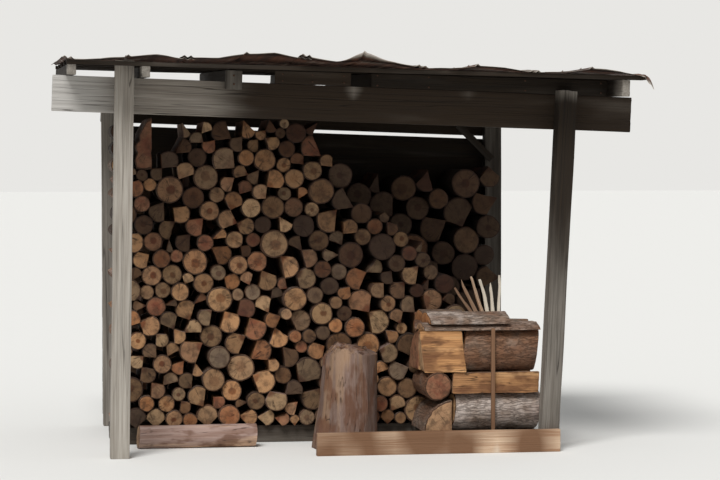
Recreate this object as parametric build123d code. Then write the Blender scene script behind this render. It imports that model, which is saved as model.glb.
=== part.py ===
from build123d import *
import math
import os
import random

# An open log store. Four rough posts carry a front header and a rear beam, and rafters, purlins
# and warped sheets lie on them. Two rows of firewood, a crib of large splits and a chopping block
# stand inside. Millimetres, +Z up, the front faces -Y, and z = 0 is the ground.

# Frame
post_side = 100
bay_depth = 1450
front_left_post_height = 2092
front_right_post_height = 1945
rear_left_post_height = 2035
rear_right_post_height = 1925
front_left_lean = 0.9
front_right_lean = 3.0
rear_left_lean = -0.2
rear_right_lean = 0
front_left_foot_shift = 39
front_right_foot_shift = 18

# Beams and roof. Both fall to the right, the beams more steeply, and rise a little to the rear.
beam_length = 3050
beam_overhang = 380
beam_thickness = 45
beam_depth = 190
header_top = 1965
header_longer = 80
rear_beam_shorter = 345
beam_roll = 2.0
roof_roll = 1.3
roof_rise = 1.2
rafter_width = 45
middle_rafter_depth = 72
roof_front_overhang = 215
roof_rear_overhang = 230
left_end_rafter_inset = 55
right_end_rafter_inset = 35
left_post_rafter_gap = 40
right_post_rafter_gap = 75
purlin_width = 90
purlin_thickness = 22
purlin_count = 5
purlin_end_inset = 30

# Upper front board, in two lengths on the header, and the cleat on its face
board_thickness = 22
short_board_left = -350
short_board_length = 410
long_board_left = 170
long_board_length = 1300
cleat_width = 90
cleat_height = 102
cleat_x = -575
cleat_above_header = 60

# Roof sheets with five crimps each
sheet_count = 5
sheet_width = 682
sheet_thickness = 3
sheet_left = -1490
crimp_half_width = 12
crimp_height = 11
edge_crimp_inset = 20
crimp_pair_spacing = 32
sheet_lap_rise = 60
sheet_overhang = 45
sheet_stagger = 28
sheet_stagger_turn = 2.3
sheet_stagger_start = 0.4
wave_hump = 38
wave_hump_x = -380
wave_hump_spread = 520
wave_ripple = 13
wave_ripple_length = 590
middle_lift_share = 0.45
rear_lift_share = 0.2

# Rear wall boards and knee brace
wall_board_count = 9
wall_board_gap = 0.4
wall_board_thickness = 22
wall_foot = 60
wall_top_drop = 44
wall_slit = 20
head_board_height = 120
brace_width = 45
brace_rise = 180
brace_thickness = 22
brace_tilt = 45

# Firewood rows
seat_gap = 0.3
bearer_side = 95
row_left_of_post_centre = 50
crib_row_gap = 2.5
front_row_length = 425
rear_row_length = 470
log_length_scatter = 22
log_length_play = 11
log_slimmest = 0.86
log_fullest = 0.98
tapered_share = 0.7
bearer_inset_share = 0.22
front_log_small = 27
front_log_large = 80
front_log_usual = 42
rear_log_small = 52
rear_log_large = 98
rear_log_usual = 66
front_row_high = 1800
front_row_shoulder_x = -60
front_row_step_x = 225
front_row_step_height = 1320
front_row_end_x = 1010
front_row_end_height = 420
front_row_curve = 1.6
rear_row_high = 1545
rear_row_dip = 45
rear_row_wave = 210
front_band_count = 5
rear_band_count = 3
round_share = 0.45
widest_arc = math.radians(78)
widest_split = math.radians(150)
narrowest_split = math.radians(62)
closest_corners = math.radians(9)
corner_scatter = 0.12
shallowest_arc = 0.93
touch_play = 0.1
misses_before_small = 3
misses_allowed = 8

# Crib of large splits, chopping block and small pieces
crib_left = 466
crib_right = 1108
crib_depth = 385
crib_bearer_height = 92
crib_bearer_inset_share = 0.14
crib_column = 166
crib_column_low = 172
crib_column_high = 150
crib_lichen_height = 208
crib_big_height = 228
crib_big_split_share = 0.36
crib_slab_height = 34
crib_bark_slab_height = 62
crib_bark_slab_length = 440
crib_bark_slab_inset = 30
crib_play = 4
billet_corners = 10
big_billet_corners = 12
split_arc_corners = 5
half_arc_corners = 6
round_roughness = 0.94
split_lean = 0.9
split_roughness = 0.97
block_x = 55
block_height = 590
block_waist_share = 0.38
block_waist_radius_share = 0.89
block_top_radius_share = 0.8
block_waist_shift = 22
block_top_shift = 38
block_corners = 12
block_roughness = 0.92
block_slope_height_share = 0.93
block_slope = 11
block_slope_to_rear = 5
block_notch_height_share = 0.96
block_notch_slope = 38
block_notch_side_share = 0.36
block_clearance = 6
pole_radius = 62
pole_left = -1060
pole_length = 640
pole_row_gap = 45
sill_left = -145
sill_height = 122
stake_side = 20
stake_height = 655
stake_x = 848
kindling_count = 6
kindling_length = 270
kindling_width = 20
kindling_thickness = 12
kindling_x = 812
kindling_lean = 19
kindling_room = 90
kindling_pitch = 26
kindling_widest_fan = -30
kindling_fan_step = 7
kindling_shortest_share = 0.75
tall_split_from_post = 129
tall_split_width = 84
tall_split_height = 280
tall_split_foot = 1520

post_spacing = beam_length - 2 * beam_overhang
header_y = -bay_depth / 2 + beam_thickness / 2
rear_beam_y = bay_depth / 2 - beam_thickness / 2
front_post_y = -bay_depth / 2 - post_side / 2
rear_post_y = bay_depth / 2 + post_side / 2
left_post_x = -post_spacing / 2
right_post_x = post_spacing / 2
bay_front = -bay_depth / 2 + beam_thickness
tall_split_x = left_post_x + tall_split_from_post
crib_front = bay_front + stake_side + 2 * seat_gap
front_row_face = crib_front + crib_depth + log_length_scatter + crib_row_gap
rear_row_clearance = log_length_scatter + log_length_play + 1
rear_row_face = bay_depth / 2 + post_side - rear_row_clearance - rear_row_length
nearest_log_face = front_row_face - log_length_scatter
block_y = (bay_front + nearest_log_face) / 2
block_radius = (nearest_log_face - bay_front) / 2 - block_clearance
pole_y = nearest_log_face - pole_row_gap - pole_radius
roof_front = -post_side - roof_front_overhang
roof_rear = bay_depth + post_side + roof_rear_overhang
purlin_pitch = (roof_rear - roof_front - purlin_width) / (purlin_count - 1)
front_row_left = left_post_x - row_left_of_post_centre
rear_row_left = left_post_x + post_side / 2 + seat_gap
rear_row_right = right_post_x - post_side / 2 - seat_gap
row_floor = bearer_side + seat_gap
front_row_ends = (front_row_left, front_row_end_x, row_floor, False)
rear_row_ends = (rear_row_left, rear_row_right, row_floor, True)

to_header_face = Rot(roof_rise, 0, 0) * Pos(0, -beam_thickness / 2, 0)
beam_line = Pos(0, header_y, header_top) * Rot(0, beam_roll, 0)
beam_tops = beam_line * to_header_face
roof_line = Pos(0, header_y, header_top + middle_rafter_depth) * Rot(0, roof_roll, 0)
rafter_tops = roof_line * to_header_face

CENTRE_LOW = (Align.CENTER, Align.CENTER, Align.MIN)
CENTRE_FRONT_LOW = (Align.CENTER, Align.MIN, Align.MIN)
CORNER_LOW = (Align.MIN, Align.MIN, Align.MIN)
HUGE = 10000
HAIR = 0.01


def half_space_above(plane):
    """A block that stands on a plane and holds everything above it."""
    return plane * Box(HUGE, HUGE, HUGE, align=CENTRE_LOW)


def solids_of(shape):
    """The separate solids of a shape or of a list of shapes."""
    if isinstance(shape, list):
        return [solid for part in shape for solid in part.solids()]
    return list(shape.solids())


def post(x_foot, y, height, lean):
    """A squared post that leans sideways, with its foot cut level with the ground."""
    stick = Pos(x_foot, y, 0) * Rot(0, lean, 0) * Pos(0, 0, -post_side)
    timber = stick * Box(post_side, post_side, height + post_side, align=CENTRE_LOW)
    return timber & half_space_above(Location((0, 0, 0)))


def lean_shift(lean, height=header_top):
    """How far a leaning post's centre line has moved sideways at a height."""
    return height * math.tan(math.radians(lean))


def posts():
    """The four posts, placed so that their heads stand at the header's post spacing."""
    left_foot = left_post_x - front_left_foot_shift
    right_foot = right_post_x - front_right_foot_shift
    return {
        "front_left_post": post(left_foot, front_post_y, front_left_post_height, front_left_lean),
        "front_right_post": post(right_foot, front_post_y, front_right_post_height, front_right_lean),
        "rear_left_post": post(left_post_x, rear_post_y, rear_left_post_height, rear_left_lean),
        "rear_right_post": post(right_post_x, rear_post_y, rear_right_post_height, rear_right_lean),
    }


def beam_underside(y):
    """The plane that a beam's underside lies in."""
    rise = (y - header_y + beam_thickness / 2) * math.tan(math.radians(roof_rise))
    return beam_line * Pos(0, y - header_y, rise - beam_depth)


def beam(y, left_end, right_end):
    """A beam on edge, planed along its top to the rise of the roof."""
    length = right_end - left_end
    timber = Box(length, beam_thickness, HUGE, align=(Align.MIN, Align.CENTER, Align.MAX))
    timber = beam_line * Pos(left_end, y - header_y, beam_depth) * timber
    return (timber - half_space_above(beam_tops)) & half_space_above(beam_underside(y))


def between_beams_and_roof(x, y, width, length):
    """A timber that stands on the beams' tops and reaches up to the purlins."""
    block = Box(width, length, HUGE, align=(Align.CENTER, Align.MIN, Align.MAX))
    return (rafter_tops * Pos(x, y, 0) * block) & half_space_above(beam_tops)


def rafter_places():
    """The rafters' centres along the header, uneven as they were nailed."""
    left_end = sheet_left + left_end_rafter_inset
    beside_left = left_post_x + post_side / 2 + left_post_rafter_gap
    beside_right = right_post_x - post_side / 2 - right_post_rafter_gap
    right_end = beam_length / 2 - right_end_rafter_inset
    behind_cleat = cleat_x
    behind_short_board = short_board_left + short_board_length / 2
    middle_right = (behind_short_board + beside_right) / 2
    quarter_right = (behind_short_board + middle_right) / 2
    return [
        left_end,
        beside_left,
        behind_cleat,
        behind_short_board,
        quarter_right + rafter_width,
        middle_right + rafter_width,
        beside_right,
        right_end,
    ]


def behind_a_board(x):
    """Whether a rafter at x stops behind one of the upper front boards."""
    on_short = short_board_left < x < short_board_left + short_board_length
    on_long = long_board_left < x < long_board_left + long_board_length
    return on_short or on_long


def rafters():
    """Rafters across both beams. Those behind the upper boards or the cleat end against them."""
    timbers = []
    for x in rafter_places():
        front = board_thickness if behind_a_board(x) else roof_front
        if x == cleat_x:
            front = seat_gap
        timbers.append(between_beams_and_roof(x, front, rafter_width, roof_rear - front))
    return timbers


def purlins():
    """Flat laths along the roof, on the rafters."""
    length = sheet_total_width() - 2 * purlin_end_inset
    left = sheet_left + purlin_end_inset
    timbers = []
    for index in range(purlin_count):
        lath = Box(length, purlin_width, purlin_thickness, align=CORNER_LOW)
        timbers.append(rafter_tops * Pos(left, roof_front + index * purlin_pitch, 0) * lath)
    return timbers


def upper_front_boards():
    """Two boards on edge on the header, flush with its face, closing the gap under the roof."""
    pieces = []
    runs = [(short_board_left, short_board_length), (long_board_left, long_board_length)]
    for left, length in runs:
        pieces.append(between_beams_and_roof(left + length / 2, 0, length, board_thickness - seat_gap))
    return pieces


def cleat():
    """A short block nailed to the header's face, its head against the rafter behind it."""
    block = Box(cleat_width, beam_thickness, cleat_height, align=(Align.CENTER, Align.MAX, Align.MAX))
    return beam_line * Pos(cleat_x, -beam_thickness / 2, cleat_above_header) * block


def crimp_places():
    """Where the five crimps stand across a sheet."""
    outer = edge_crimp_inset
    inner = edge_crimp_inset + crimp_pair_spacing
    return [outer, inner, sheet_width / 2, sheet_width - inner, sheet_width - outer]


def sheet_cover():
    """The width that one sheet adds to the roof: the edge crimps of two sheets nest."""
    return sheet_width - 2 * edge_crimp_inset - crimp_pair_spacing


def sheet_total_width():
    """The roof's width over all sheets."""
    return (sheet_count - 1) * sheet_cover() + sheet_width


def roof_wave(x):
    """How far the warped roof stands off its purlins at the front edge."""
    hump = wave_hump * math.exp(-(((x - wave_hump_x) / wave_hump_spread) ** 2))
    return hump + wave_ripple * (1 + math.sin(2 * math.pi * x / wave_ripple_length))


def sheet_underside(left, first, lift_share, y):
    """The points across a sheet's underside at y, in the roof's frame."""
    stations = [(0, 0)]
    for place in crimp_places():
        stations.append((place - crimp_half_width, 0))
        stations.append((place, crimp_height))
        stations.append((place + crimp_half_width, 0))
    stations.append((sheet_width, 0))
    wide_flats = (6, 9)
    flats = [(stations[k][0] + stations[k + 1][0]) / 2 for k in wide_flats]
    stations = sorted(stations + [(across, 0) for across in flats])
    lap_end = 2 * edge_crimp_inset + crimp_pair_spacing
    base = purlin_thickness + seat_gap
    points = []
    for across, height in stations:
        x = left + across
        lap = 0 if first else min(1, max(0, (lap_end + sheet_lap_rise - across) / sheet_lap_rise))
        lap_height = lap * (sheet_thickness + seat_gap)
        points.append(Vector(x, y, base + lift_share * roof_wave(x) + height + lap_height))
    return points


def flat_face(points):
    """A flat face through points in order."""
    return Face(Wire.make_polygon(points, close=True))


def sheet_over(rows):
    """A thin solid on rows of points. Its faces are flat triangles, the same above as below."""
    lift = Vector(0, 0, sheet_thickness)
    faces = []
    for near, far in zip(rows, rows[1:]):
        for index in range(len(near) - 1):
            first_half = [near[index], near[index + 1], far[index + 1]]
            second_half = [near[index], far[index + 1], far[index]]
            for corners in (first_half, second_half):
                faces.append(flat_face(corners))
                faces.append(flat_face([corner + lift for corner in corners]))
        for side in (0, -1):
            faces.append(flat_face([near[side], far[side], far[side] + lift, near[side] + lift]))
    for row in (rows[0], rows[-1]):
        faces.append(flat_face(row + [point + lift for point in reversed(row)]))
    return Solid(Shell(faces))


def roof_sheet(index):
    """A crimped sheet, warped most at its front edge."""
    left = sheet_left + index * sheet_cover()
    stagger = sheet_stagger * math.sin(sheet_stagger_turn * index + sheet_stagger_start)
    front = roof_front - sheet_overhang + stagger
    rear = roof_rear + sheet_overhang + stagger
    middle = roof_front + purlin_pitch
    first = index == 0
    rows = [
        sheet_underside(left, first, 1, front),
        sheet_underside(left, first, middle_lift_share, middle),
        sheet_underside(left, first, rear_lift_share, rear),
    ]
    return rafter_tops * sheet_over(rows)


def rear_wall():
    """Level boards on the rear posts' outer face, cut to a slit of daylight under a head board."""
    length = post_spacing + post_side
    wall_y = rear_post_y + post_side / 2
    top_line = beam_line * Pos(0, wall_y - header_y, -beam_depth - wall_top_drop)
    highest = top_line.position.Z + lean_run(length / 2)
    pitch = (highest - wall_foot + wall_board_gap) / wall_board_count
    boards = []
    for index in range(wall_board_count):
        board = Box(length, wall_board_thickness, pitch - wall_board_gap, align=CENTRE_FRONT_LOW)
        board = Pos(0, wall_y, wall_foot + index * pitch) * board
        boards.append(board - half_space_above(top_line))
    head_board = Box(length, wall_board_thickness, head_board_height, align=CENTRE_FRONT_LOW)
    boards.append(top_line * Pos(0, 0, wall_slit) * head_board)
    return boards


def rear_right_brace():
    """A short knee brace on the inner face of the rear right post, up to the beam's underside."""
    under_beam = beam_underside(rear_beam_y)
    head_z = under_beam.position.Z - lean_run(right_post_x)
    post_face_x = right_post_x - post_side / 2 + lean_shift(rear_right_lean, head_z - brace_rise)
    stick = Box(brace_width, brace_thickness, 3 * brace_rise, align=(Align.CENTER, Align.MAX, Align.CENTER))
    foot = Pos(post_face_x + brace_width / 2, bay_depth / 2, head_z - brace_rise)
    stick = foot * Rot(0, -brace_tilt, 0) * stick
    above_foot = half_space_above(foot * Rot(0, -brace_tilt, 0) * Pos(0, 0, -brace_width / 2))
    return (stick & above_foot) - half_space_above(under_beam)


def lean_run(x):
    """How far the beams have fallen at x."""
    return x * math.tan(math.radians(beam_roll))


def front_row_top(x):
    """The height of the front row, high on the left and stepping down to the right."""
    if x < front_row_shoulder_x:
        return front_row_high
    if x < front_row_step_x:
        share = (x - front_row_shoulder_x) / (front_row_step_x - front_row_shoulder_x)
        return front_row_high + share * (front_row_step_height - front_row_high)
    share = (x - front_row_step_x) / (front_row_end_x - front_row_step_x)
    return front_row_step_height + share**front_row_curve * (front_row_end_height - front_row_step_height)


def rear_row_top(x):
    """The height of the rear row, with a shallow dip."""
    return rear_row_high - rear_row_dip * (1 + math.sin(x / rear_row_wave)) / 2


def crossing(first, second, radius):
    """The upper point from which a disc of a radius touches two others."""
    ax, az, ar = first
    bx, bz, br = second
    reach_a = ar + radius + seat_gap
    reach_b = br + radius + seat_gap
    apart = math.hypot(bx - ax, bz - az)
    if apart < seat_gap or apart > reach_a + reach_b:
        return None
    along = (reach_a**2 - reach_b**2 + apart**2) / (2 * apart)
    height_squared = reach_a**2 - along**2
    if height_squared <= 0:
        return None
    side = math.sqrt(height_squared)
    ux, uz = (bx - ax) / apart, (bz - az) / apart
    x, z = ax + along * ux, az + along * uz
    if ux < 0:
        return x + side * uz, z - side * ux
    return x - side * uz, z + side * ux


def seats_for(radius, discs, row):
    """Every place where a disc would rest on two of: the floor, the row's ends and other discs."""
    left, right, floor, has_right_end = row
    places = [(left + radius, floor + radius)]
    ends = [left + radius, right - radius] if has_right_end else [left + radius]
    for x, z, r in discs:
        reach = r + radius + seat_gap
        rise = floor + radius - z
        if abs(rise) < reach:
            places.append((x + math.sqrt(reach**2 - rise**2), floor + radius))
            places.append((x - math.sqrt(reach**2 - rise**2), floor + radius))
        for end in ends:
            if abs(end - x) < reach:
                places.append((end, z + math.sqrt(reach**2 - (end - x) ** 2)))
    for index, first in enumerate(discs):
        for second in discs[:index]:
            spot = crossing(first, second, radius)
            if spot and min(first[0], second[0]) < spot[0] < max(first[0], second[0]):
                places.append(spot)
    return places


def is_free(spot, radius, discs, kept_clear):
    """Whether a disc at a spot stays clear of all others and of the column kept for the tall split."""
    x, z = spot
    if kept_clear:
        left, right, foot = kept_clear
        if math.hypot(x - min(max(x, left), right), z - max(z, foot)) < radius + seat_gap:
            return False
    for other_x, other_z, r in discs:
        if math.hypot(x - other_x, z - other_z) < radius + r + seat_gap - HAIR:
            return False
    return True


def stack_discs(chance, row, top, sizes, kept_clear=None):
    """Fills a row's outline with discs, each let down to the lowest place that can hold it."""
    left, right, floor, _ = row
    small, large, usual = sizes
    placed = []
    misses = 0
    level = floor
    while misses < misses_allowed:
        radius = small if misses > misses_before_small else chance.triangular(small, large, usual)
        near = [disc for disc in placed if disc[1] > level - 4 * large]
        spots = []
        for x, z in seats_for(radius, near, row):
            in_width = left + radius - HAIR <= x <= right - radius + HAIR
            if in_width and z >= floor + radius - HAIR and z + radius <= top(x):
                spots.append((z, x))
        spots.sort()
        spot = next(((x, z) for z, x in spots if is_free((x, z), radius, placed, kept_clear)), None)
        if spot is None:
            misses += 1
            continue
        misses = 0
        level = max(level, spot[1])
        placed.append((spot[0], spot[1], radius))
    return placed


def contact_angles(disc, discs, row):
    """The directions in which a disc touches the floor, the row's ends and other discs."""
    left, right, floor, has_right_end = row
    x, z, radius = disc
    angles = []
    if z - radius < floor + touch_play:
        angles.append(-math.pi / 2)
    if x - radius < left + touch_play:
        angles.append(math.pi)
    if has_right_end and x + radius > right - touch_play:
        angles.append(0)
    for other_x, other_z, r in discs:
        apart = math.hypot(other_x - x, other_z - z)
        if 0 < apart < radius + r + seat_gap + touch_play:
            angles.append(math.atan2(other_z - z, other_x - x))
    return sorted(angle % (2 * math.pi) for angle in angles)


def thinned(angles, least):
    """The same directions, less any that lies closer than least to the one before it."""
    kept = []
    for angle in angles:
        if not kept or angle - kept[-1] > least:
            kept.append(angle)
    return kept


def split_spans(spans, is_round):
    """Which spans between corners are split faces: the widest, and the wider one beside it."""
    if is_round:
        return set()
    count = len(spans)
    widest = max(range(count), key=lambda index: spans[index])
    beside = max((widest - 1) % count, (widest + 1) % count, key=lambda index: spans[index])
    return {index for index in (widest, beside) if spans[index] > narrowest_split}


def spans_between(angles):
    """The turn from each direction to the next, and from the last round to the first."""
    turn = 2 * math.pi
    following = angles[1:] + angles[:1]
    return [(far - near) % turn or turn for near, far in zip(angles, following)]


def log_outline(chance, disc, angles, is_round):
    """A log's end: corners on its disc at every contact, with bark arcs and split faces between."""
    x, z, radius = disc
    angles = thinned(angles, closest_corners)
    spans = spans_between(angles)
    flats = split_spans(spans, is_round)
    corners = []
    for index, angle in enumerate(angles):
        corners.append((angle, radius))
        widest = widest_split if index in flats else widest_arc
        extra = math.ceil(spans[index] / widest) - 1
        for step in range(extra):
            share = (step + 1 + chance.uniform(-corner_scatter, corner_scatter)) / (extra + 1)
            corners.append((angle + share * spans[index], radius * chance.uniform(shallowest_arc, 1)))
    return [(x + r * math.cos(a), z + r * math.sin(a)) for a, r in corners]


def log_solid(chance, disc, outline, front, length):
    """A log along Y. Most taper a little towards the rear, and all bear on each other in front."""
    x, z, _ = disc
    near = front + chance.uniform(-log_length_scatter, log_length_scatter)
    far = near + length + chance.uniform(-log_length_play, log_length_play)
    slim = chance.uniform(log_slimmest, log_fullest)
    scales = (1, slim) if chance.random() < tapered_share else (1, 1)
    ends = []
    for y, scale in zip((near, far), scales):
        ends.append([Vector(x + (px - x) * scale, y, z + (pz - z) * scale) for px, pz in outline])
    return Solid.make_loft([Wire.make_polygon(end, close=True) for end in ends], ruled=True)


def firewood_row(chance, discs, row, front, length, band_count, has_tall_split=False):
    """A row of split and round logs, as one list of solids for each band of height."""
    floor = row[2]
    highest = max(z for _, z, _ in discs)
    bands = [[] for _ in range(band_count)]
    foot, bearing, bearing_angle = tall_split_seat(discs) if has_tall_split else (0, None, 0)
    for disc in discs:
        is_round = chance.random() < round_share
        angles = contact_angles(disc, discs, row)
        if disc == bearing:
            angles = sorted(angles + [bearing_angle])
        outline = log_outline(chance, disc, angles, is_round)
        band = min(band_count - 1, int(band_count * (disc[1] - floor) / (highest - floor)))
        bands[band].append(log_solid(chance, disc, outline, front, length))
    if has_tall_split:
        section = split_section(chance, tall_split_width, tall_split_height)
        bands[-1].append(end_on(section, length, tall_split_x, front, foot))
    return bands


def tall_split_seat(discs):
    """Where a slab on edge comes to rest on the row: its foot, the log that bears it and where."""
    left = tall_split_x - tall_split_width / 2
    right = tall_split_x + tall_split_width / 2
    touches = []
    for disc in discs:
        x, z, radius = disc
        across = min(max(x, left), right) - x
        if abs(across) < radius and z < tall_split_foot:
            rise = math.sqrt(radius**2 - across**2)
            touches.append((z + rise + seat_gap, disc, math.atan2(rise, across)))
    return max(touches)


def front_row():
    """The front row: mostly small logs, open at its right end."""
    chance = random.Random(21)
    sizes = (front_log_small, front_log_large, front_log_usual)
    half = tall_split_width / 2
    column = (tall_split_x - half, tall_split_x + half, tall_split_foot)
    ends = front_row_ends
    discs = stack_discs(chance, ends, front_row_top, sizes, column)
    return firewood_row(chance, discs, ends, front_row_face, front_row_length, front_band_count, True)


def rear_row():
    """The rear row: larger logs, held between the rear posts."""
    chance = random.Random(34)
    sizes = (rear_log_small, rear_log_large, rear_log_usual)
    ends = rear_row_ends
    discs = stack_discs(chance, ends, rear_row_top, sizes)
    return firewood_row(chance, discs, ends, rear_row_face, rear_row_length, rear_band_count)


def row_bearers(row, front, length):
    """Two squared bearers on the ground under a row."""
    left, right, _, _ = row
    bars = []
    for share in (bearer_inset_share, 1 - bearer_inset_share):
        bar = Box(right - left, bearer_side, bearer_side, align=(Align.MIN, Align.CENTER, Align.MIN))
        bars.append(Pos(left, front + share * length, 0) * bar)
    return bars


def round_section(chance, width, height, corners=billet_corners):
    """A rough round end in a box of a width and height, flat where it rests and where it bears."""
    points = []
    for index in range(corners):
        angle = 2 * math.pi * (index + 0.5) / corners - math.pi / 2
        rough = chance.uniform(round_roughness, 1)
        points.append((width / 2 * rough * math.cos(angle), height / 2 * math.sin(angle)))
    tallest = max(z for _, z in points)
    return [(x, height / 2 + z * height / 2 / tallest) for x, z in points]


def split_section(chance, width, height):
    """A split end: a flat foot, a flat face towards +X, and bark in an arc from foot to head."""
    points = [(width / 2, 0), (width / 2 * chance.uniform(split_lean, 1), height)]
    for index in range(1, split_arc_corners):
        angle = math.pi / 2 * index / split_arc_corners
        reach = chance.uniform(split_roughness, 1)
        points.append((width / 2 - width * reach * math.sin(angle), height * reach * math.cos(angle)))
    points.append((-width / 2, 0))
    return points


def half_section(width, height):
    """A half round lying on its flat face."""
    points = []
    for index in range(half_arc_corners + 1):
        angle = math.pi * index / half_arc_corners
        points.append((width / 2 * math.cos(angle), height * math.sin(angle)))
    tallest = max(z for _, z in points)
    return [(x, z * height / tallest) for x, z in points]


def billet(section, length):
    """A length of wood along Y with the same end throughout."""
    wires = []
    for y in (0, length):
        wires.append(Wire.make_polygon([Vector(x, y, z) for x, z in section], close=True))
    return Solid.make_loft(wires, ruled=True)


def end_on(section, length, x, y, z):
    """A billet along Y, its foot at z."""
    return Pos(x, y, z) * billet(section, length)


def lengthwise(section, length, x, y, z):
    """A billet along X, its left end at x, with the section's +X side to the front."""
    return Pos(x, y, z) * Rot(0, 0, -90) * billet(section, length)


def crib_rows():
    """The middles of the crib's front and rear billets, and how thick they are."""
    thick = crib_depth / 2 - crib_play
    return [crib_front + thick / 2, crib_front + crib_depth - thick / 2], thick


def crib():
    """Criss-cross layers of large splits, from the bearers up, and the height of their top."""
    chance = random.Random(11)
    rows, thick = crib_rows()
    column_width = crib_column - crib_play
    column_x = crib_left + column_width / 2
    long_left = crib_left + crib_column
    long_length = crib_right - long_left
    foot = crib_bearer_height + seat_gap
    lowest = split_section(chance, column_width, crib_column_low)
    low = [end_on(lowest, crib_depth, column_x, crib_front, foot)]
    for y in rows:
        section = round_section(chance, thick, crib_lichen_height)
        low.append(lengthwise(section, long_length, long_left, y, foot))
    second = foot + crib_column_low + seat_gap
    reddish = round_section(chance, column_width, crib_column_high)
    middle = [end_on(reddish, crib_depth, column_x, crib_front, second)]
    third = second + crib_column_high + seat_gap
    yellow_foot = foot + crib_lichen_height + seat_gap
    for y in rows:
        section = split_section(chance, thick, third - seat_gap - yellow_foot)
        middle.append(lengthwise(section, long_length, long_left, y, yellow_foot))
    big_length = crib_right - crib_left
    golden_length = crib_big_split_share * big_length
    upper = []
    for y in rows:
        golden = split_section(chance, thick, crib_big_height)
        upper.append(lengthwise(golden, golden_length, crib_left, y, third))
        barked = round_section(chance, thick, crib_big_height, big_billet_corners)
        barked_left = crib_left + golden_length + crib_play
        upper.append(lengthwise(barked, crib_right - barked_left, barked_left, y, third))
    fourth = third + crib_big_height + seat_gap
    slabs = []
    for y in rows:
        slabs.append(lengthwise(half_section(thick, crib_slab_height), big_length, crib_left, y, fourth))
    fifth = fourth + crib_slab_height + seat_gap
    barks = []
    bark_left = crib_left + crib_bark_slab_inset
    lengths = (crib_bark_slab_length, kindling_x - kindling_room - bark_left)
    for y, length in zip(rows, lengths):
        section = half_section(thick, crib_bark_slab_height)
        barks.append(lengthwise(section, length, bark_left, y, fifth))
    return [low, middle, upper, slabs, barks], fifth - seat_gap


def crib_bearers():
    """Two bearers on the ground under the crib."""
    length = crib_right - crib_left
    bars = []
    for share in (crib_bearer_inset_share, 1 - crib_bearer_inset_share):
        bar = Box(length, bearer_side, crib_bearer_height, align=(Align.MIN, Align.CENTER, Align.MIN))
        bars.append(Pos(crib_left, crib_front + share * crib_depth, 0) * bar)
    return bars


def kindling(top):
    """Thin pale sticks that stand fanned out on the crib's slab and lean back to the front row."""
    chance = random.Random(5)
    rows, _ = crib_rows()
    sticks = []
    for index in range(kindling_count):
        length = kindling_length * chance.uniform(kindling_shortest_share, 1)
        stick = Box(kindling_width, kindling_thickness, length, align=CENTRE_LOW)
        stick = Rot(-kindling_lean, kindling_widest_fan + index * kindling_fan_step, 0) * stick
        foot = top + seat_gap - stick.bounding_box().min.Z
        sticks.append(Pos(kindling_x + index * kindling_pitch, rows[1], foot) * stick)
    return sticks


def block_ring(bumps, height, radius, shift):
    """One level outline of the chopping block, at a height and shifted to the right."""
    ring = []
    for index, bump in enumerate(bumps):
        angle = 2 * math.pi * index / len(bumps)
        ring.append(Vector(shift + radius * bump * math.cos(angle), radius * bump * math.sin(angle), height))
    return Wire.make_polygon(ring, close=True)


def chopping_block():
    """A stump that flares to its left foot, with a broken, sloping top."""
    chance = random.Random(3)
    bumps = [chance.uniform(block_roughness, 1) for _ in range(block_corners)]
    waist = block_height * block_waist_share
    rings = [
        block_ring(bumps, 0, block_radius, 0),
        block_ring(bumps, waist, block_radius * block_waist_radius_share, block_waist_shift),
        block_ring(bumps, block_height, block_radius * block_top_radius_share, block_top_shift),
    ]
    stump = Solid.make_loft(rings, ruled=True)
    slope_height = block_height * block_slope_height_share
    slope = Pos(block_top_shift, 0, slope_height) * Rot(block_slope_to_rear, block_slope, 0)
    notch_x = block_top_shift - block_radius * block_notch_side_share
    notch = Pos(notch_x, 0, block_height * block_notch_height_share) * Rot(0, -block_notch_slope, 0)
    stump = stump - half_space_above(slope) - half_space_above(notch)
    return Pos(block_x, block_y, 0) * stump


def foot_pole():
    """A grey pole that lies on the ground along the foot of the front row."""
    section = round_section(random.Random(4), 2 * pole_radius, 2 * pole_radius, big_billet_corners)
    return lengthwise(section, pole_length, pole_left, pole_y, 0)


def front_sill():
    """A plank on edge on the ground before the right post, from the chopping block on."""
    right = right_post_x + post_side / 2 - front_right_foot_shift
    plank = Box(right - sill_left, beam_thickness, sill_height, align=(Align.MIN, Align.MAX, Align.MIN))
    return Pos(sill_left, front_post_y - post_side / 2 - seat_gap, 0) * plank


def crib_stake():
    """A thin stick that stands against the crib's face."""
    stick = Box(stake_side, stake_side, stake_height, align=(Align.CENTER, Align.MAX, Align.MIN))
    return Pos(stake_x, crib_front - seat_gap, 0) * stick


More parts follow.
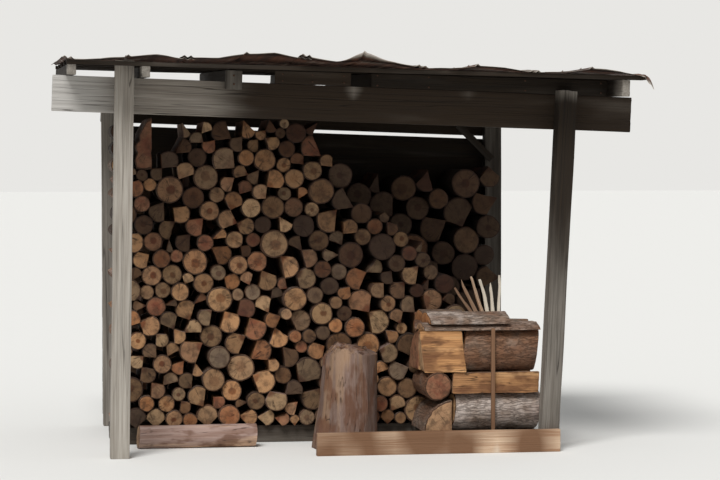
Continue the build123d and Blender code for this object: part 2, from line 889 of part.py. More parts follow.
def build_nodes():
    """Every piece of the store by name, in place before the origin is moved under its middle."""
    nodes = dict(posts())
    half = beam_length / 2
    nodes["front_header"] = beam(header_y, -half, half + header_longer)
    nodes["rear_beam"] = beam(rear_beam_y, -half + rear_beam_shorter, half)
    nodes["rafters"] = rafters()
    nodes["purlins"] = purlins()
    nodes["upper_front_boards"] = upper_front_boards()
    nodes["header_cleat"] = cleat()
    for index in range(sheet_count):
        nodes[f"roof_sheet_{index + 1}"] = roof_sheet(index)
    nodes["rear_wall_boards"] = rear_wall()
    nodes["rear_right_brace"] = rear_right_brace()
    for index, band in enumerate(front_row()):
        nodes[f"front_row_logs_{index + 1}"] = band
    for index, band in enumerate(rear_row()):
        nodes[f"rear_row_logs_{index + 1}"] = band
    nodes["front_row_bearers"] = row_bearers(front_row_ends, front_row_face, front_row_length)
    nodes["rear_row_bearers"] = row_bearers(rear_row_ends, rear_row_face, rear_row_length)
    layers, crib_top = crib()
    for index, layer in enumerate(layers):
        nodes[f"crib_layer_{index + 1}"] = layer
    nodes["crib_bearers"] = crib_bearers()
    nodes["kindling"] = kindling(crib_top)
    nodes["crib_stake"] = crib_stake()
    nodes["chopping_block"] = chopping_block()
    nodes["foot_pole"] = foot_pole()
    nodes["front_sill"] = front_sill()
    return {name: solids_of(shape) for name, shape in nodes.items()}


def main():
    """Moves the origin to the middle of the footprint and writes each piece."""
    nodes = build_nodes()
    bounds = Compound([solid for solids in nodes.values() for solid in solids]).bounding_box()
    middle = bounds.center()
    home = Pos(-middle.X, -middle.Y, 0)
    os.makedirs("parts", exist_ok=True)
    for name, solids in nodes.items():
        export_step(Compound([home * solid for solid in solids]), f"parts/{name}.step")
        print(name, len(solids))
    print("moved by", -middle.X, -middle.Y, "size", bounds.size)


main()
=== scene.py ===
import cmath
import functools
import math
import random

import bmesh
import bpy
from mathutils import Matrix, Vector, noise
from mathutils.bvhtree import BVHTree


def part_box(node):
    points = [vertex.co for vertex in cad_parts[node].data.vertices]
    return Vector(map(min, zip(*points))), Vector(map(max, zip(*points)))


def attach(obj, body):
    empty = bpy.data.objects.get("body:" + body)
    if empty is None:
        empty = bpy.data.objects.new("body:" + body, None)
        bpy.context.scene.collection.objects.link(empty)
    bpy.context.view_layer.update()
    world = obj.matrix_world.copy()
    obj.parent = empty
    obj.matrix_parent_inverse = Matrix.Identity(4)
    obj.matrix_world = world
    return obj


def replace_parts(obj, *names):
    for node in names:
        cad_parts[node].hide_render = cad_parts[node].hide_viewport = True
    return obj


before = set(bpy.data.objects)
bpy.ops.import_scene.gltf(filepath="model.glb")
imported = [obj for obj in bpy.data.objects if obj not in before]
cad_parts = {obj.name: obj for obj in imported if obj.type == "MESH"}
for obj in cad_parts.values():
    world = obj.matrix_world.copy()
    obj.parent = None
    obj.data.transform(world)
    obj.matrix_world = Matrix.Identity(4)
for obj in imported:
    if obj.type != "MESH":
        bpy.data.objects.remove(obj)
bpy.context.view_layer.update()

bl_info = {
    "name": "Log store",
    "version": (1, 0, 0),
    "blender": (4, 5, 0),
    "location": "3D View > Sidebar > Log store",
    "description": "Dresses the log store: weathered timbers, stacked firewood and rusty roof sheets",
    "category": "Object",
}

UP = Vector((0, 0, 1))
NO_SHIFT = Vector((0, 0, 0))
WELD = 1e-5  # Corners nearer than this are one corner.
FLAT = 2e-4  # A log's end is flat to within this, and its sides are longer.
SEAM_ANGLE = math.radians(0.6)  # Faces that meet at less are one flat face.
STRAIGHT_ANGLE = math.radians(1.2)  # Sides of a log's end that turn by less are one side.
CORNER_ANGLE = math.radians(25)  # A log's outline has a corner where it turns by more.
SHARP_ANGLE = math.radians(38)  # Faces that meet at more keep a sharp edge between them.
SPLIT_SPAN = math.radians(82)  # A side that spans more of a log than this is a split face.
SECOND_SPLIT_SPAN = math.radians(56)  # So is the side beside it, if it spans more than this.
MOST_WORN = 0.22  # The most of a timber's thickness that a worn arris takes.
NEARLY_SQUARE = 0.3  # The cosine below which an edge counts as one across a timber.
BROWN_LIMITS = (-0.5, 1.6)  # Below 0 a timber is paler, which on the header's left end is painted light, and over 1 it is all brown.
FINE_GRAIN, BROAD_GRAIN = (75, 2.4, 75), (8, 1.3, 8)  # Ripples to a metre: across, along, through.
BARK_FURROWS, BARK_HOLLOWS = (46, 9, 46), (20, 2, 20)
LOG_STATIONS = (0.0, 0.03, 0.25, 0.5, 0.75, 0.97, 1.0)  # Where a small log has rings of points.
LOG_END_RIMS = (0.9, 0.68, 0.38)  # Where its ends have rings, as shares of its reach.
BLOCK_TOP_RIMS = (0.94, 0.84, 0.7, 0.52, 0.34, 0.16)  # The same on the chopping block's top.
BARK_FROM = 0.4  # A point with a larger share of bark around it has the relief of bark.
WALL_NAIL, BOARD_NAIL, ROOF_NAIL = 0.006, 0.005, 0.008  # The radii of nail heads.
BOARD_NAIL_PLACES = (-0.36, -0.2, -0.03, 0.15, 0.43, 0.96, 1.38)
NAILS_ACROSS, NAILS_DOWN = (0.045, 0.5, 0.955), (0.12, 0.31, 0.5, 0.69, 0.88)  # Shares of a roof sheet.
ROOF_SHEETS, FRONT_BANDS, REAR_BANDS = range(1, 6), range(1, 6), range(1, 4)


def linear(red, green, blue):
    """A colour in screen values from 0 to 255, as the linear one that Blender keeps."""
    shares = [value / 255 for value in (red, green, blue)]
    return tuple(s / 12.92 if s <= 0.04045 else ((s + 0.055) / 1.055) ** 2.4 for s in shares)


def length_setting(label, about, size):
    """A length that a user may change."""
    return bpy.props.FloatProperty(
        name=label, description=about, default=size, min=0, unit="LENGTH", subtype="DISTANCE"
    )


def colour_setting(label, about, screen):
    """A colour that a user may change, its default in screen values."""
    return bpy.props.FloatVectorProperty(
        name=label, description=about, default=linear(*screen), min=0, max=1, size=3, subtype="COLOR"
    )


def place_setting(label, about, place):
    """A place that a user may change."""
    return bpy.props.FloatVectorProperty(
        name=label, description=about, default=place, size=3, subtype="TRANSLATION"
    )


class TimberSettings(bpy.types.PropertyGroup):
    """Sawn timbers: how worn they are and what they have weathered to"""

    arris: length_setting("Arris", "How much of each corner is worn off", 0.004)
    furrow: length_setting("Furrow", "How deep the weathered grain stands", 0.0018)
    silver: colour_setting("Silver grey", "Timber that the weather reaches", (180, 173, 163))
    silver_dark: colour_setting("Silver grey, dark", "The soft grain of grey timber", (132, 124, 114))
    brown: colour_setting("Brown", "Timber under the roof", (41, 32, 22))
    brown_dark: colour_setting("Brown, dark", "The soft grain of brown timber", (23, 17, 11))
    fresh: colour_setting("Pale split", "Kindling and fresh sawn wood", (216, 190, 162))
    fresh_dark: colour_setting("Pale split, dark", "The grain of fresh wood", (154, 114, 84))


class FirewoodSettings(bpy.types.PropertyGroup):
    """Logs: their bark, ends and split faces"""

    bark_relief: length_setting("Bark relief", "How far small logs' bark stands in ridges", 0.0022)
    large_relief: length_setting("Large bark relief", "How far the crib's bark stands in ridges", 0.005)
    split_relief: length_setting("Split relief", "How rough the split faces are", 0.0018)
    end_grey: colour_setting("Grey end", "Old sawn ends", (116, 100, 84))
    end_tan: colour_setting("Tan end", "Ends of seasoned wood", (178, 134, 94))
    end_orange: colour_setting("Orange end", "Ends with an orange heart", (184, 122, 76))
    end_red: colour_setting("Red end", "Reddish ends", (138, 82, 62))
    end_pale: colour_setting("Pale end", "The freshest ends", (222, 182, 138))
    bark_brown: colour_setting("Brown bark", "Dark bark", (130, 95, 72))
    bark_grey: colour_setting("Grey bark", "Bark with grey scale", (134, 116, 102))
    bark_lichen: colour_setting("Lichen", "Pale lichen on bark", (198, 184, 174))
    split_tan: colour_setting("Tan split", "Seasoned split faces", (150, 110, 76))
    split_golden: colour_setting("Golden split", "Fresh golden split faces", (208, 154, 102))
    split_grey: colour_setting("Grey split", "Weathered split faces", (186, 162, 152))


class RoofSettings(bpy.types.PropertyGroup):
    """Crimped tin sheets: their thickness, rust and ragged front edge"""

    tin: length_setting("Tin", "How thick the sheets show", 0.0009)
    ragged: length_setting("Ragged edge", "How far the front edge wanders", 0.012)
    curl: length_setting("Curl", "How far the front edge is bent up or down", 0.014)
    dull_zinc: colour_setting("Dull zinc", "What is left of the zinc", (132, 122, 112))
    rust: colour_setting("Rust", "Even rust", (92, 56, 38))
    rust_dark: colour_setting("Dark rust", "Old rust and dirt", (46, 31, 24))
    rust_orange: colour_setting("Orange rust", "Fresh rust streaks", (138, 78, 44))


class StageSettings(bpy.types.PropertyGroup):
    """The floor, the light and the camera"""

    floor: colour_setting("Floor", "The plain pale floor", (226, 225, 221))
    backdrop: colour_setting("Backdrop", "The plain pale backdrop", (232, 231, 228))
    sky: bpy.props.FloatProperty(
        name="Sky light", description="The strength of the even light from all round", default=0.44, min=0
    )
    lamp: bpy.props.FloatProperty(name="Lamp", description="The soft lamp's strength", default=2.7, min=0)
    lens: bpy.props.FloatProperty(
        name="Lens", description="The camera's focal length", default=120, min=1, unit="CAMERA"
    )
    eye: place_setting("Eye", "Where the camera stands", (-1.923, -13.431, 1.6))
    target: place_setting("Target", "Where the camera looks", (0.04, -0.831, 1.145))


class Reading:
    """A number that varies over a surface. Sums are written on it as on any number."""

    def __init__(self, finish, socket):
        self.finish = finish
        self.socket = socket

    def worked(self, operation, first, second=0.0):
        return self.finish.node("ShaderNodeMath", {"operation": operation}, {0: first, 1: second})

    def __add__(self, other):
        return self.worked("ADD", self, other)

    def __radd__(self, other):
        return self.worked("ADD", other, self)

    def __sub__(self, other):
        return self.worked("SUBTRACT", self, other)

    def __rsub__(self, other):
        return self.worked("SUBTRACT", other, self)

    def __mul__(self, other):
        return self.worked("MULTIPLY", self, other)

    def __rmul__(self, other):
        return self.worked("MULTIPLY", other, self)

    def __abs__(self):
        return self.worked("ABSOLUTE", self)

    def ramped(self, low, high, first=0.0, last=1.0):
        """The reading from low to high eased onto first to last."""
        inputs = {"Value": self, "From Min": low, "From Max": high, "To Min": first, "To Max": last}
        return self.finish.node("ShaderNodeMapRange", {"interpolation_type": "SMOOTHSTEP"}, inputs)


class Nodes:
    """The node tree of a material or a world in the making."""

    def __init__(self, owner):
        owner.use_nodes = True
        self.tree = owner.node_tree
        self.tree.nodes.clear()

    def feed(self, socket, value):
        """Links a reading to a socket, or sets the socket to a plain value."""
        if isinstance(value, Reading):
            self.tree.links.new(value.socket, socket)
        elif socket.type == "RGBA" and len(value) == 3:
            socket.default_value = (*value, 1)
        else:
            socket.default_value = value

    def node(self, kind, settings=None, inputs=None, output=0):
        """Adds a node: its settings first, then its sockets' values or links."""
        made = self.tree.nodes.new(kind)
        for label, value in (settings or {}).items():
            if label == "stops":
                self.set_stops(made.color_ramp, value)
            else:
                setattr(made, label, value)
        for label, value in (inputs or {}).items():
            self.feed(made.inputs[label], value)
        return None if output is None else Reading(self, made.outputs[output])

    @staticmethod
    def set_stops(ramp, stops):
        """Gives a colour ramp its stops, each a place and a colour."""
        while len(ramp.elements) < len(stops):
            ramp.elements.new(1)
        for element, (place, colour) in zip(ramp.elements, stops):
            element.position = place
            element.color = (*colour, 1)


class Finish(Nodes):
    """A material in the making, with the one shader that its readings feed."""

    def __init__(self, name, constants):
        self.material = bpy.data.materials.new(name)
        super().__init__(self.material)
        shader = self.node("ShaderNodeBsdfPrincipled", {}, constants)
        self.shader = shader.socket.node
        self.node("ShaderNodeOutputMaterial", {}, {"Surface": shader}, None)

    def attribute(self, name, output="Fac"):
        """A value that the mesh carries."""
        settings = {"attribute_type": "GEOMETRY", "attribute_name": name}
        return self.node("ShaderNodeAttribute", settings, {}, output)

    def vector(self, operation, *inputs, output=0):
        """A sum on vectors."""
        return self.node("ShaderNodeVectorMath", {"operation": operation}, dict(enumerate(inputs)), output)

    def noise(self, vector, scales, detail=3.0, roughness=0.55):
        """Cloudy noise from 0 to 1, with one scale, or with one for each axis."""
        if isinstance(scales, tuple):
            vector, scales = self.vector("MULTIPLY", vector, scales), 1
        inputs = {"Vector": vector, "Scale": scales, "Detail": detail, "Roughness": roughness}
        return self.node("ShaderNodeTexNoise", {}, inputs)

    def colours(self, reading, stops):
        """A reading turned into a colour."""
        return self.node("ShaderNodeValToRGB", {"stops": stops}, {"Fac": reading})

    def mixed(self, share, first, second):
        """Two colours, mixed by a share."""
        return self.node("ShaderNodeMix", {"data_type": "RGBA"}, {0: share, 6: first, 7: second}, 2)

    def stained(self, colour, *stains):
        """A colour with stains laid over it in turn, each a share and a colour in screen values."""
        for share, screen in stains:
            colour = self.mixed(share, colour, linear(*screen))
        return colour

    def coat(self, colour, roughness, height, distance):
        """Feeds the shader a colour, a roughness and a relief, and hands over the finished material."""
        bump = self.node("ShaderNodeBump", {}, {"Height": height, "Distance": distance})
        for label, value in (("Base Color", colour), ("Roughness", roughness), ("Normal", bump)):
            self.feed(self.shader.inputs[label], value)
        return self.material


@functools.cache
def weathered_timber():
    """Sawn timber: silver grey where it is weathered and brown elsewhere, with checks along the grain, and
    paler where its brown share is below 0, which is painted light at the header's left end.
    """
    settings = bpy.context.scene.store_timbers
    finish = Finish("Weathered timber", {"Specular IOR Level": 0.25})
    grain = finish.attribute("grain", "Vector")
    brown_share = finish.attribute("brown_share")
    fine = finish.noise(grain, (110, 2.6, 110), 5, 0.6)
    broad = finish.noise(grain, (22, 0.9, 22))
    patch = finish.noise(grain, (9, 1.1, 9))
    streak = (fine * 0.62 + broad * 0.38).ramped(0.3, 0.7)
    grey = finish.mixed(streak, settings.silver_dark, settings.silver)
    brown = finish.mixed(streak, settings.brown_dark, settings.brown)
    colour = finish.mixed((brown_share + (patch - 0.5) * 0.8).ramped(0.05, 0.95), grey, brown)
    warmth = (finish.attribute("tint") - 0.5).ramped(0, 0.5, 0, 0.25)
    colour = finish.stained(colour, (warmth, (76, 60, 46)))
    # Painted light: a paler grey where the brown share falls below 0, as on the header's left end.
    pale_and_painted_light = finish.mixed(streak, linear(190, 188, 185), linear(226, 225, 222))
    colour = finish.mixed((0 - brown_share).ramped(0.02, 0.45, 0, 0.5), colour, pale_and_painted_light)
    split = finish.noise(grain, (26, 0.55, 26), 2, 0.4)
    crack = abs(split - 0.5).ramped(0.002, 0.011, 1, 0) * patch.ramped(0.35, 0.6)
    colour = finish.stained(colour, (crack * 0.7, (30, 24, 19)))
    return finish.coat(colour, streak * 0.12 + 0.78, streak * 0.5 + broad * 0.3 - crack, 0.002)


@functools.cache
def pale_split_timber():
    """Kindling and other pale split wood, with long fibres: browner or paler by its brown share."""
    settings = bpy.context.scene.store_timbers
    finish = Finish("Pale split wood", {"Specular IOR Level": 0.3})
    grain = finish.attribute("grain", "Vector")
    brown_share = finish.attribute("brown_share")
    fine = finish.noise(grain, (160, 4, 160), 4)
    broad = finish.noise(grain, (30, 2, 30))
    fibre = (fine * 0.5 + broad * 0.5).ramped(0.3, 0.7)
    colour = finish.stained(
        finish.mixed(fibre, settings.fresh_dark, settings.fresh),
        (brown_share, (116, 84, 60)),
        ((0 - brown_share).ramped(0, 0.5, 0, 0.75), (236, 228, 210)),
    )
    return finish.coat(colour, fibre * 0.1 + 0.68, fibre, 0.0014)


@functools.cache
def log_end_grain():
    """A log's end: heart and sapwood, growth rings, checks and the ring of bark."""
    settings = bpy.context.scene.store_firewood
    finish = Finish("Log end grain", {"Specular IOR Level": 0.25})
    place = finish.attribute("log_place", "Vector")
    seed, heart = finish.attribute("log_seed"), finish.attribute("heart")
    cloud = finish.noise(place, 28, 3)
    stops = [
        (0.0, settings.end_grey),
        (0.3, settings.end_tan),
        (0.55, settings.end_orange),
        (0.76, settings.end_red),
        (1.0, settings.end_pale),
    ]
    wood = finish.colours(finish.attribute("end_tone") + (cloud - 0.5) * 0.14, stops)
    heart_edge = (heart + (cloud - 0.5) * 0.3 + seed * 0.25).ramped(0.42, 0.56)
    dark_heart = finish.stained(wood, ((seed - 0.15).ramped(0, 0.75, 0.05, 0.7), (108, 62, 36)))
    sapwood = finish.stained(wood, ((seed - 0.3).ramped(0, 0.6, 0.1, 0.5), (206, 170, 126)))
    from_pith = finish.vector("MULTIPLY", place, (1, 0, 1))
    wander = finish.noise(place, 60, 2)
    phase = finish.vector("LENGTH", from_pith, output=1) * 760 + wander * 9 + seed * 40
    rings = phase.worked("SINE", phase) * 0.5 + 0.5
    offset = finish.node("ShaderNodeCombineXYZ", {}, {"X": seed * 31, "Y": seed * 17, "Z": seed * 23})
    ray = finish.vector("MULTIPLY_ADD", finish.vector("NORMALIZE", from_pith), (1.9, 1.9, 1.9), offset)
    fan = finish.noise(ray, 1, 2, 0.5)
    check = abs(fan - 0.5).ramped(0.004, 0.016, 1, 0) * heart.ramped(0.02, 0.2) * cloud.ramped(0.42, 0.6)
    dirt = finish.noise(place, (26, 26, 26), 4, 0.65)
    wood = finish.stained(
        finish.mixed(heart_edge, dark_heart, sapwood),
        (rings * 0.16, (84, 54, 34)),
        (check * 0.75, (40, 28, 20)),
        (dirt.ramped(0.4, 0.7, 0, 0.65), (74, 56, 43)),
    )
    bark = finish.stained(settings.bark_brown, (cloud * 0.6 + 0.4, (34, 25, 19)))
    bark_ring = (finish.attribute("rim") + (cloud - 0.5) * 0.06).ramped(0.9, 0.93)
    bark_ring = bark_ring * finish.attribute("barked").ramped(0.3, 0.7)
    # Darkened by the log's random tone and by painted shade.
    colour = finish.stained(finish.mixed(bark_ring, wood, bark), (finish.attribute("shade"), (40, 25, 18)))
    return finish.coat(colour, 0.82, rings * 0.15 - check + cloud * 0.4 - bark_ring * 0.3, 0.0016)


@functools.cache
def log_bark():
    """Bark: brown to grey, furrowed along the log, with patches of lichen."""
    settings = bpy.context.scene.store_firewood
    finish = Finish("Log bark", {"Specular IOR Level": 0.2})
    place = finish.attribute("log_place", "Vector")
    tone, seed = finish.attribute("bark_tone"), finish.attribute("log_seed")
    warp = finish.noise(place, 12, 4)
    wander = finish.noise(place, (9, 4, 9), 2)
    furrow = finish.noise(place, (58, 13, 58), 3, 0.6)
    ridge = (abs(furrow - 0.5) + wander * 0.03).ramped(0.012, 0.09)
    scale = finish.noise(place, (120, 46, 120), 4)
    stops = [(0.0, settings.bark_brown), (0.5, settings.bark_grey), (1.0, settings.bark_lichen)]
    bark = finish.colours(tone + (warp - 0.5) * 1.5 + (seed - 0.5) * 0.12, stops)
    bark = finish.stained(bark, ((wander - 0.42).ramped(0, 0.2, 0, 0.35), (112, 74, 54)))
    bark = finish.stained(
        # Painted shade: the bark is darker along its furrows.
        finish.mixed(ridge, finish.stained(bark, (0.5, (40, 28, 21))), bark),
        (scale.ramped(0.4, 0.75, 0, 0.32), (58, 44, 35)),
        # Darkened by the log's random tone and by painted shade.
        (finish.attribute("shade"), (24, 18, 14)),
    )
    return finish.coat(bark, 0.88, ridge * 0.7 + scale * 0.3, 0.004)


@functools.cache
def split_face():
    """A split face: long fibres, tan, golden or grey, with stains, a few dark knots and drying checks."""
    settings = bpy.context.scene.store_firewood
    finish = Finish("Split face", {"Specular IOR Level": 0.25})
    place = finish.attribute("log_place", "Vector")
    fine = finish.noise(place, (190, 7, 190), 5, 0.6)
    broad = finish.noise(place, (34, 2.2, 34))
    cloud = finish.noise(place, 14, 2)
    fibre = (fine * 0.55 + broad * 0.45).ramped(0.28, 0.72)
    stops = [(0.0, settings.split_grey), (0.45, settings.split_tan), (1.0, settings.split_golden)]
    sheath = finish.noise(place, (16, 1.1, 16), 2)
    stain = finish.noise(place, (15, 6, 15))
    cells = {"Vector": finish.vector("MULTIPLY", place, (7, 3.4, 7)), "Scale": 1.0}
    knot = finish.node("ShaderNodeTexVoronoi", {}, cells)
    knot = (knot + (cloud - 0.5) * 0.2).ramped(0.1, 0.17, 1, 0)
    split = finish.noise(place, (30, 1.3, 30), 2, 0.4)
    check = abs(split - 0.5).ramped(0.002, 0.013, 1, 0) * cloud.ramped(0.4, 0.6)
    wood = finish.stained(
        finish.colours(finish.attribute("split_tone") + (cloud - 0.5) * 0.35, stops),
        ((1 - fibre) * 0.55, (104, 66, 40)),
        (sheath.ramped(0.5, 0.66, 0, 0.35), (236, 190, 138)),
        (sheath.ramped(0.34, 0.46, 0.4, 0), (112, 72, 46)),
        # Darkened by the log's random tone and by painted shade.
        (finish.attribute("shade"), (40, 25, 18)),
        (stain.ramped(0.47, 0.62, 0, 0.7), (98, 62, 41)),
        (knot * 0.8, (66, 38, 22)),
        (check * 0.7, (44, 30, 22)),
    )
    return finish.coat(wood, fibre * 0.1 + 0.72, fibre - knot * 0.4 - check, 0.003)


@functools.cache
def rusty_tin():
    """Old roofing tin: dull zinc gone to rust, with streaks down the fall and a worn front edge that also
    carries a painted highlight.
    """
    settings = bpy.context.scene.store_roof
    finish = Finish("Rusty tin", {"Specular IOR Level": 0.4})
    place = finish.attribute("sheet_place", "Vector")
    lip = finish.attribute("lip")
    broad = finish.noise(place, 3.4, 4, 0.6)
    streak = finish.noise(place, (26, 1.6, 26), 4)
    speck = finish.noise(place, 120, 3, 0.7)
    rust = finish.mixed(streak.ramped(0.35, 0.7), settings.rust_dark, settings.rust)
    rust = finish.mixed(speck.ramped(0.56, 0.68, 0, 0.7), rust, settings.rust_orange)
    zinc = finish.mixed(speck.ramped(0.3, 0.7), linear(96, 88, 80), settings.dull_zinc)
    zinc_share = (broad * 0.6 + streak * 0.4 + lip * 0.3).ramped(0.5, 0.68)
    colour = finish.stained(
        finish.mixed(zinc_share, rust, zinc),
        # The front edge: worn pale zinc with a painted highlight, near white on the curl.
        ((lip * 0.8 + streak * 0.5).ramped(0.75, 0.95, 0, 0.8), (176, 166, 154)),
        ((lip - 1).ramped(0.02, 0.4, 0, 0.9), (228, 218, 210)),
    )
    finish.feed(finish.shader.inputs["Metallic"], zinc_share * 0.35)
    return finish.coat(colour, 0.82 - zinc_share * 0.22, speck * 0.5 + streak * 0.5, 0.0012)


@functools.cache
def rusty_nail():
    """Nail heads, dark with rust."""
    finish = Finish("Rusty nail", {"Metallic": 0.4})
    speck = finish.noise(finish.attribute("grain", "Vector"), 700)
    return finish.coat(finish.mixed(speck, linear(46, 34, 28), linear(98, 66, 46)), 0.7, speck, 0.0004)


def eased(value, low, high):
    """A value's way from low to high, as a smooth share."""
    share = min(1.0, max(0.0, (value - low) / (high - low)))
    return share * share * (3 - 2 * share)


def hump(value, middle, width):
    """A smooth hump: 1 at its middle, and near 0 two widths from it."""
    return math.exp(-(((value - middle) / width) ** 2))


def ripple(place, scales=(1, 1, 1), shift=NO_SHIFT, finer=1.0, share=0.0):
    """Smooth noise at a place, from about -1 to 1, with a share of finer noise in it."""
    spot = Vector([number * scale for number, scale in zip(place, scales)]) + shift
    plain = noise.noise(spot)
    return plain * (1 - share) + noise.noise(spot * finer) * share if share else plain


def drawn_shift(chance, reach, axes=3):
    """A random shift along the first axes, so that no two pieces have the same noise."""
    return Vector([chance.uniform(0, reach) for _ in range(axes)] + [0] * (3 - axes))


def ends_of(values):
    """The lowest and the highest of some values."""
    values = list(values)
    return min(values), max(values)


class Shape:
    """The points, faces and carried values of a piece in the making."""

    def __init__(self, carried):
        self.points = []
        self.faces = []
        self.finishes = []
        self.carried = {name: [] for name in carried}

    def point(self, place, **values):
        """Adds a point and what it carries, and says its number."""
        self.points.append(place)
        for name, value in values.items():
            self.carried[name].append(value)
        return len(self.points) - 1

    def face(self, corners, finish=0):
        """Adds a face with one of the piece's finishes."""
        self.faces.append(corners)
        self.finishes.append(finish)

    def skin(self, rings, finish):
        """Joins closed rings of points in turn, with one finish, or with a list of one for each side."""
        count = len(rings[0])
        finishes = finish if isinstance(finish, list) else [finish] * count
        for near, far in zip(rings, rings[1:]):
            for index in range(count):
                after = (index + 1) % count
                self.face((near[index], near[after], far[after], far[index]), finishes[index])

    def fan(self, ring, middle, finish):
        """Closes a ring with faces to a point in its middle."""
        for index, number in enumerate(ring):
            self.face((number, ring[(index + 1) % len(ring)], middle), finish)


def piece_from(shape, name, materials):
    """Makes a shape into a piece of the store, with nothing below the ground."""
    mesh = bpy.data.meshes.new(name)
    mesh.from_pydata([(x, y, max(0.0, z)) for x, y, z in shape.points], [], shape.faces)
    for label, values in shape.carried.items():
        if isinstance(values[0], (tuple, Vector)):
            layer = mesh.attributes.new(label, "FLOAT_VECTOR", "POINT")
            layer.data.foreach_set("vector", [number for value in values for number in value])
        else:
            layer = mesh.attributes.new(label, "FLOAT", "POINT")
            layer.data.foreach_set("value", values)
    for material in materials:
        mesh.materials.append(material)
    mesh.polygons.foreach_set("material_index", shape.finishes)
    mesh.polygons.foreach_set("use_smooth", [True] * len(shape.faces))
    mesh.update()
    mesh.validate()
    work = bmesh.new()
    work.from_mesh(mesh)
    bmesh.ops.recalc_face_normals(work, faces=work.faces)
    work.to_mesh(mesh)
    work.free()
    mesh.set_sharp_from_angle(angle=SHARP_ANGLE)
    piece = bpy.data.objects.new(name, mesh)
    bpy.context.scene.collection.objects.link(piece)
    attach(piece, "root")
    return piece


def dress(shape, node, materials):
    """Makes a shape into the piece that stands in for a CAD node."""
    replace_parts(piece_from(shape, f"{node}_dressed", materials), node)


def loose_solids(node):
    """The separate solids of a CAD node, each as its corners and its faces' lists of corners."""
    work = bmesh.new()
    work.from_mesh(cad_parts[node].data)
    bmesh.ops.remove_doubles(work, verts=work.verts, dist=WELD)
    seen = set()
    solids = []
    for start in work.verts:
        if start in seen:
            continue
        group = [start]
        seen.add(start)
        for vertex in group:
            for edge in vertex.link_edges:
                other = edge.other_vert(vertex)
                if other not in seen:
                    seen.add(other)
                    group.append(other)
        numbers = {vertex: index for index, vertex in enumerate(group)}
        faces = {face for vertex in group for face in vertex.link_faces}
        corner_lists = sorted([numbers[vertex] for vertex in face.verts] for face in faces)
        solids.append(([vertex.co.copy() for vertex in group], corner_lists))
    work.free()
    return solids


def tree_of(node):
    """A search tree over a CAD node's faces."""
    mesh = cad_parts[node].data
    corners = [vertex.co for vertex in mesh.vertices]
    return BVHTree.FromPolygons(corners, [polygon.vertices for polygon in mesh.polygons])


def mesh_work(solid):
    """An editing mesh of one solid, without the seams across its flat faces."""
    points, faces = solid
    work = bmesh.new()
    vertices = [work.verts.new(point) for point in points]
    for corners in faces:
        work.faces.new([vertices[index] for index in corners])
    bmesh.ops.recalc_face_normals(work, faces=work.faces)
    bmesh.ops.dissolve_limit(work, angle_limit=SEAM_ANGLE, verts=work.verts, edges=work.edges)
    return work


def timber_axes(work):
    """A timber's directions: along it, across its wide face, and through it."""
    edges = sorted(work.edges, key=lambda edge: -edge.calc_length())
    ways = [(edge.verts[1].co - edge.verts[0].co).normalized() for edge in edges]
    along = ways[0] if max(ways[0], key=abs) > 0 else -ways[0]
    for side in ways:
        if abs(side.dot(along)) < NEARLY_SQUARE:
            across = (side - along * side.dot(along)).normalized()
            return along, across, along.cross(across)
    raise RuntimeError("a timber has no side face")


def cut_across(work, direction, step):
    """Cuts a mesh by planes a step apart, so that its faces can take some relief."""
    low, high = ends_of(vertex.co.dot(direction) for vertex in work.verts)
    count = max(1, round((high - low) / step))
    for index in range(1, count):
        level = low + (high - low) * index / count
        geometry = list(work.verts) + list(work.edges) + list(work.faces)
        plane = {"plane_co": direction * level, "plane_no": direction}
        bmesh.ops.bisect_plane(work, geom=geometry, dist=1e-6, **plane)


TIMBER_CARRIES = ("grain", "brown_share", "tint")
# The last tone darkens a log: partly a random dark tone, partly painted shade.
LOG_TONES = ("end_tone", "bark_tone", "split_tone", "shade")
LOG_CARRIES = ("log_place", "log_seed", "heart", "rim", "barked", *LOG_TONES)


def timber(shape, solid, chance, brown_at, rough=1.0, steps=(0.07, 0.016), swollen=-0.35, dark_joint=0.0):
    """Adds one sawn timber, with worn arrises and furrowed grain.

    Its brown share is a number or a function of the place, and dark_joint adds to it at the long edges."""
    settings = bpy.context.scene.store_timbers
    work = mesh_work(solid)
    along, across, through = timber_axes(work)
    near, far = ends_of(vertex.co.dot(through) for vertex in work.verts)
    arris = min(settings.arris, (far - near) * MOST_WORN)
    bmesh.ops.bevel(work, geom=list(work.edges), offset=arris, segments=2, profile=0.6, affect="EDGES")
    for direction, step in ((along, steps[0]), (across, steps[1]), (through, steps[1])):
        cut_across(work, direction, step)
    work.normal_update()
    shift = drawn_shift(chance, 9)
    tint = chance.random()
    left, right = ends_of(vertex.co.dot(across) for vertex in work.verts)
    numbers = {}
    for vertex in work.verts:
        place = vertex.co
        grain = Vector((place.dot(across), place.dot(along), place.dot(through))) + shift
        push = ripple(grain, FINE_GRAIN) * 0.9 + ripple(grain, BROAD_GRAIN) * 1.1 + swollen
        push *= settings.furrow * rough
        brown = brown_at(place) if callable(brown_at) else brown_at
        from_edge = min(place.dot(across) - left, right - place.dot(across))
        brown += dark_joint * (1 - eased(from_edge, 0.003, 0.012))
        brown = min(BROWN_LIMITS[1], max(BROWN_LIMITS[0], brown))
        pushed = place + vertex.normal * push
        numbers[vertex] = shape.point(pushed, grain=grain, brown_share=brown, tint=tint)
    for face in work.faces:
        shape.face([numbers[vertex] for vertex in face.verts])
    work.free()


def timber_piece(node, slot, brown_at, seed, material=weathered_timber, **ways):
    """Dresses every timber of one CAD node. The ways are what timber takes from rough on."""
    chance = random.Random(seed)
    shape = Shape(TIMBER_CARRIES)
    for solid in loose_solids(node):
        timber(shape, solid, chance, brown_at, **ways)
    dress(shape, node, [material()])


# A log's ends are rings of complex numbers: across the log, and up as the imaginary part.


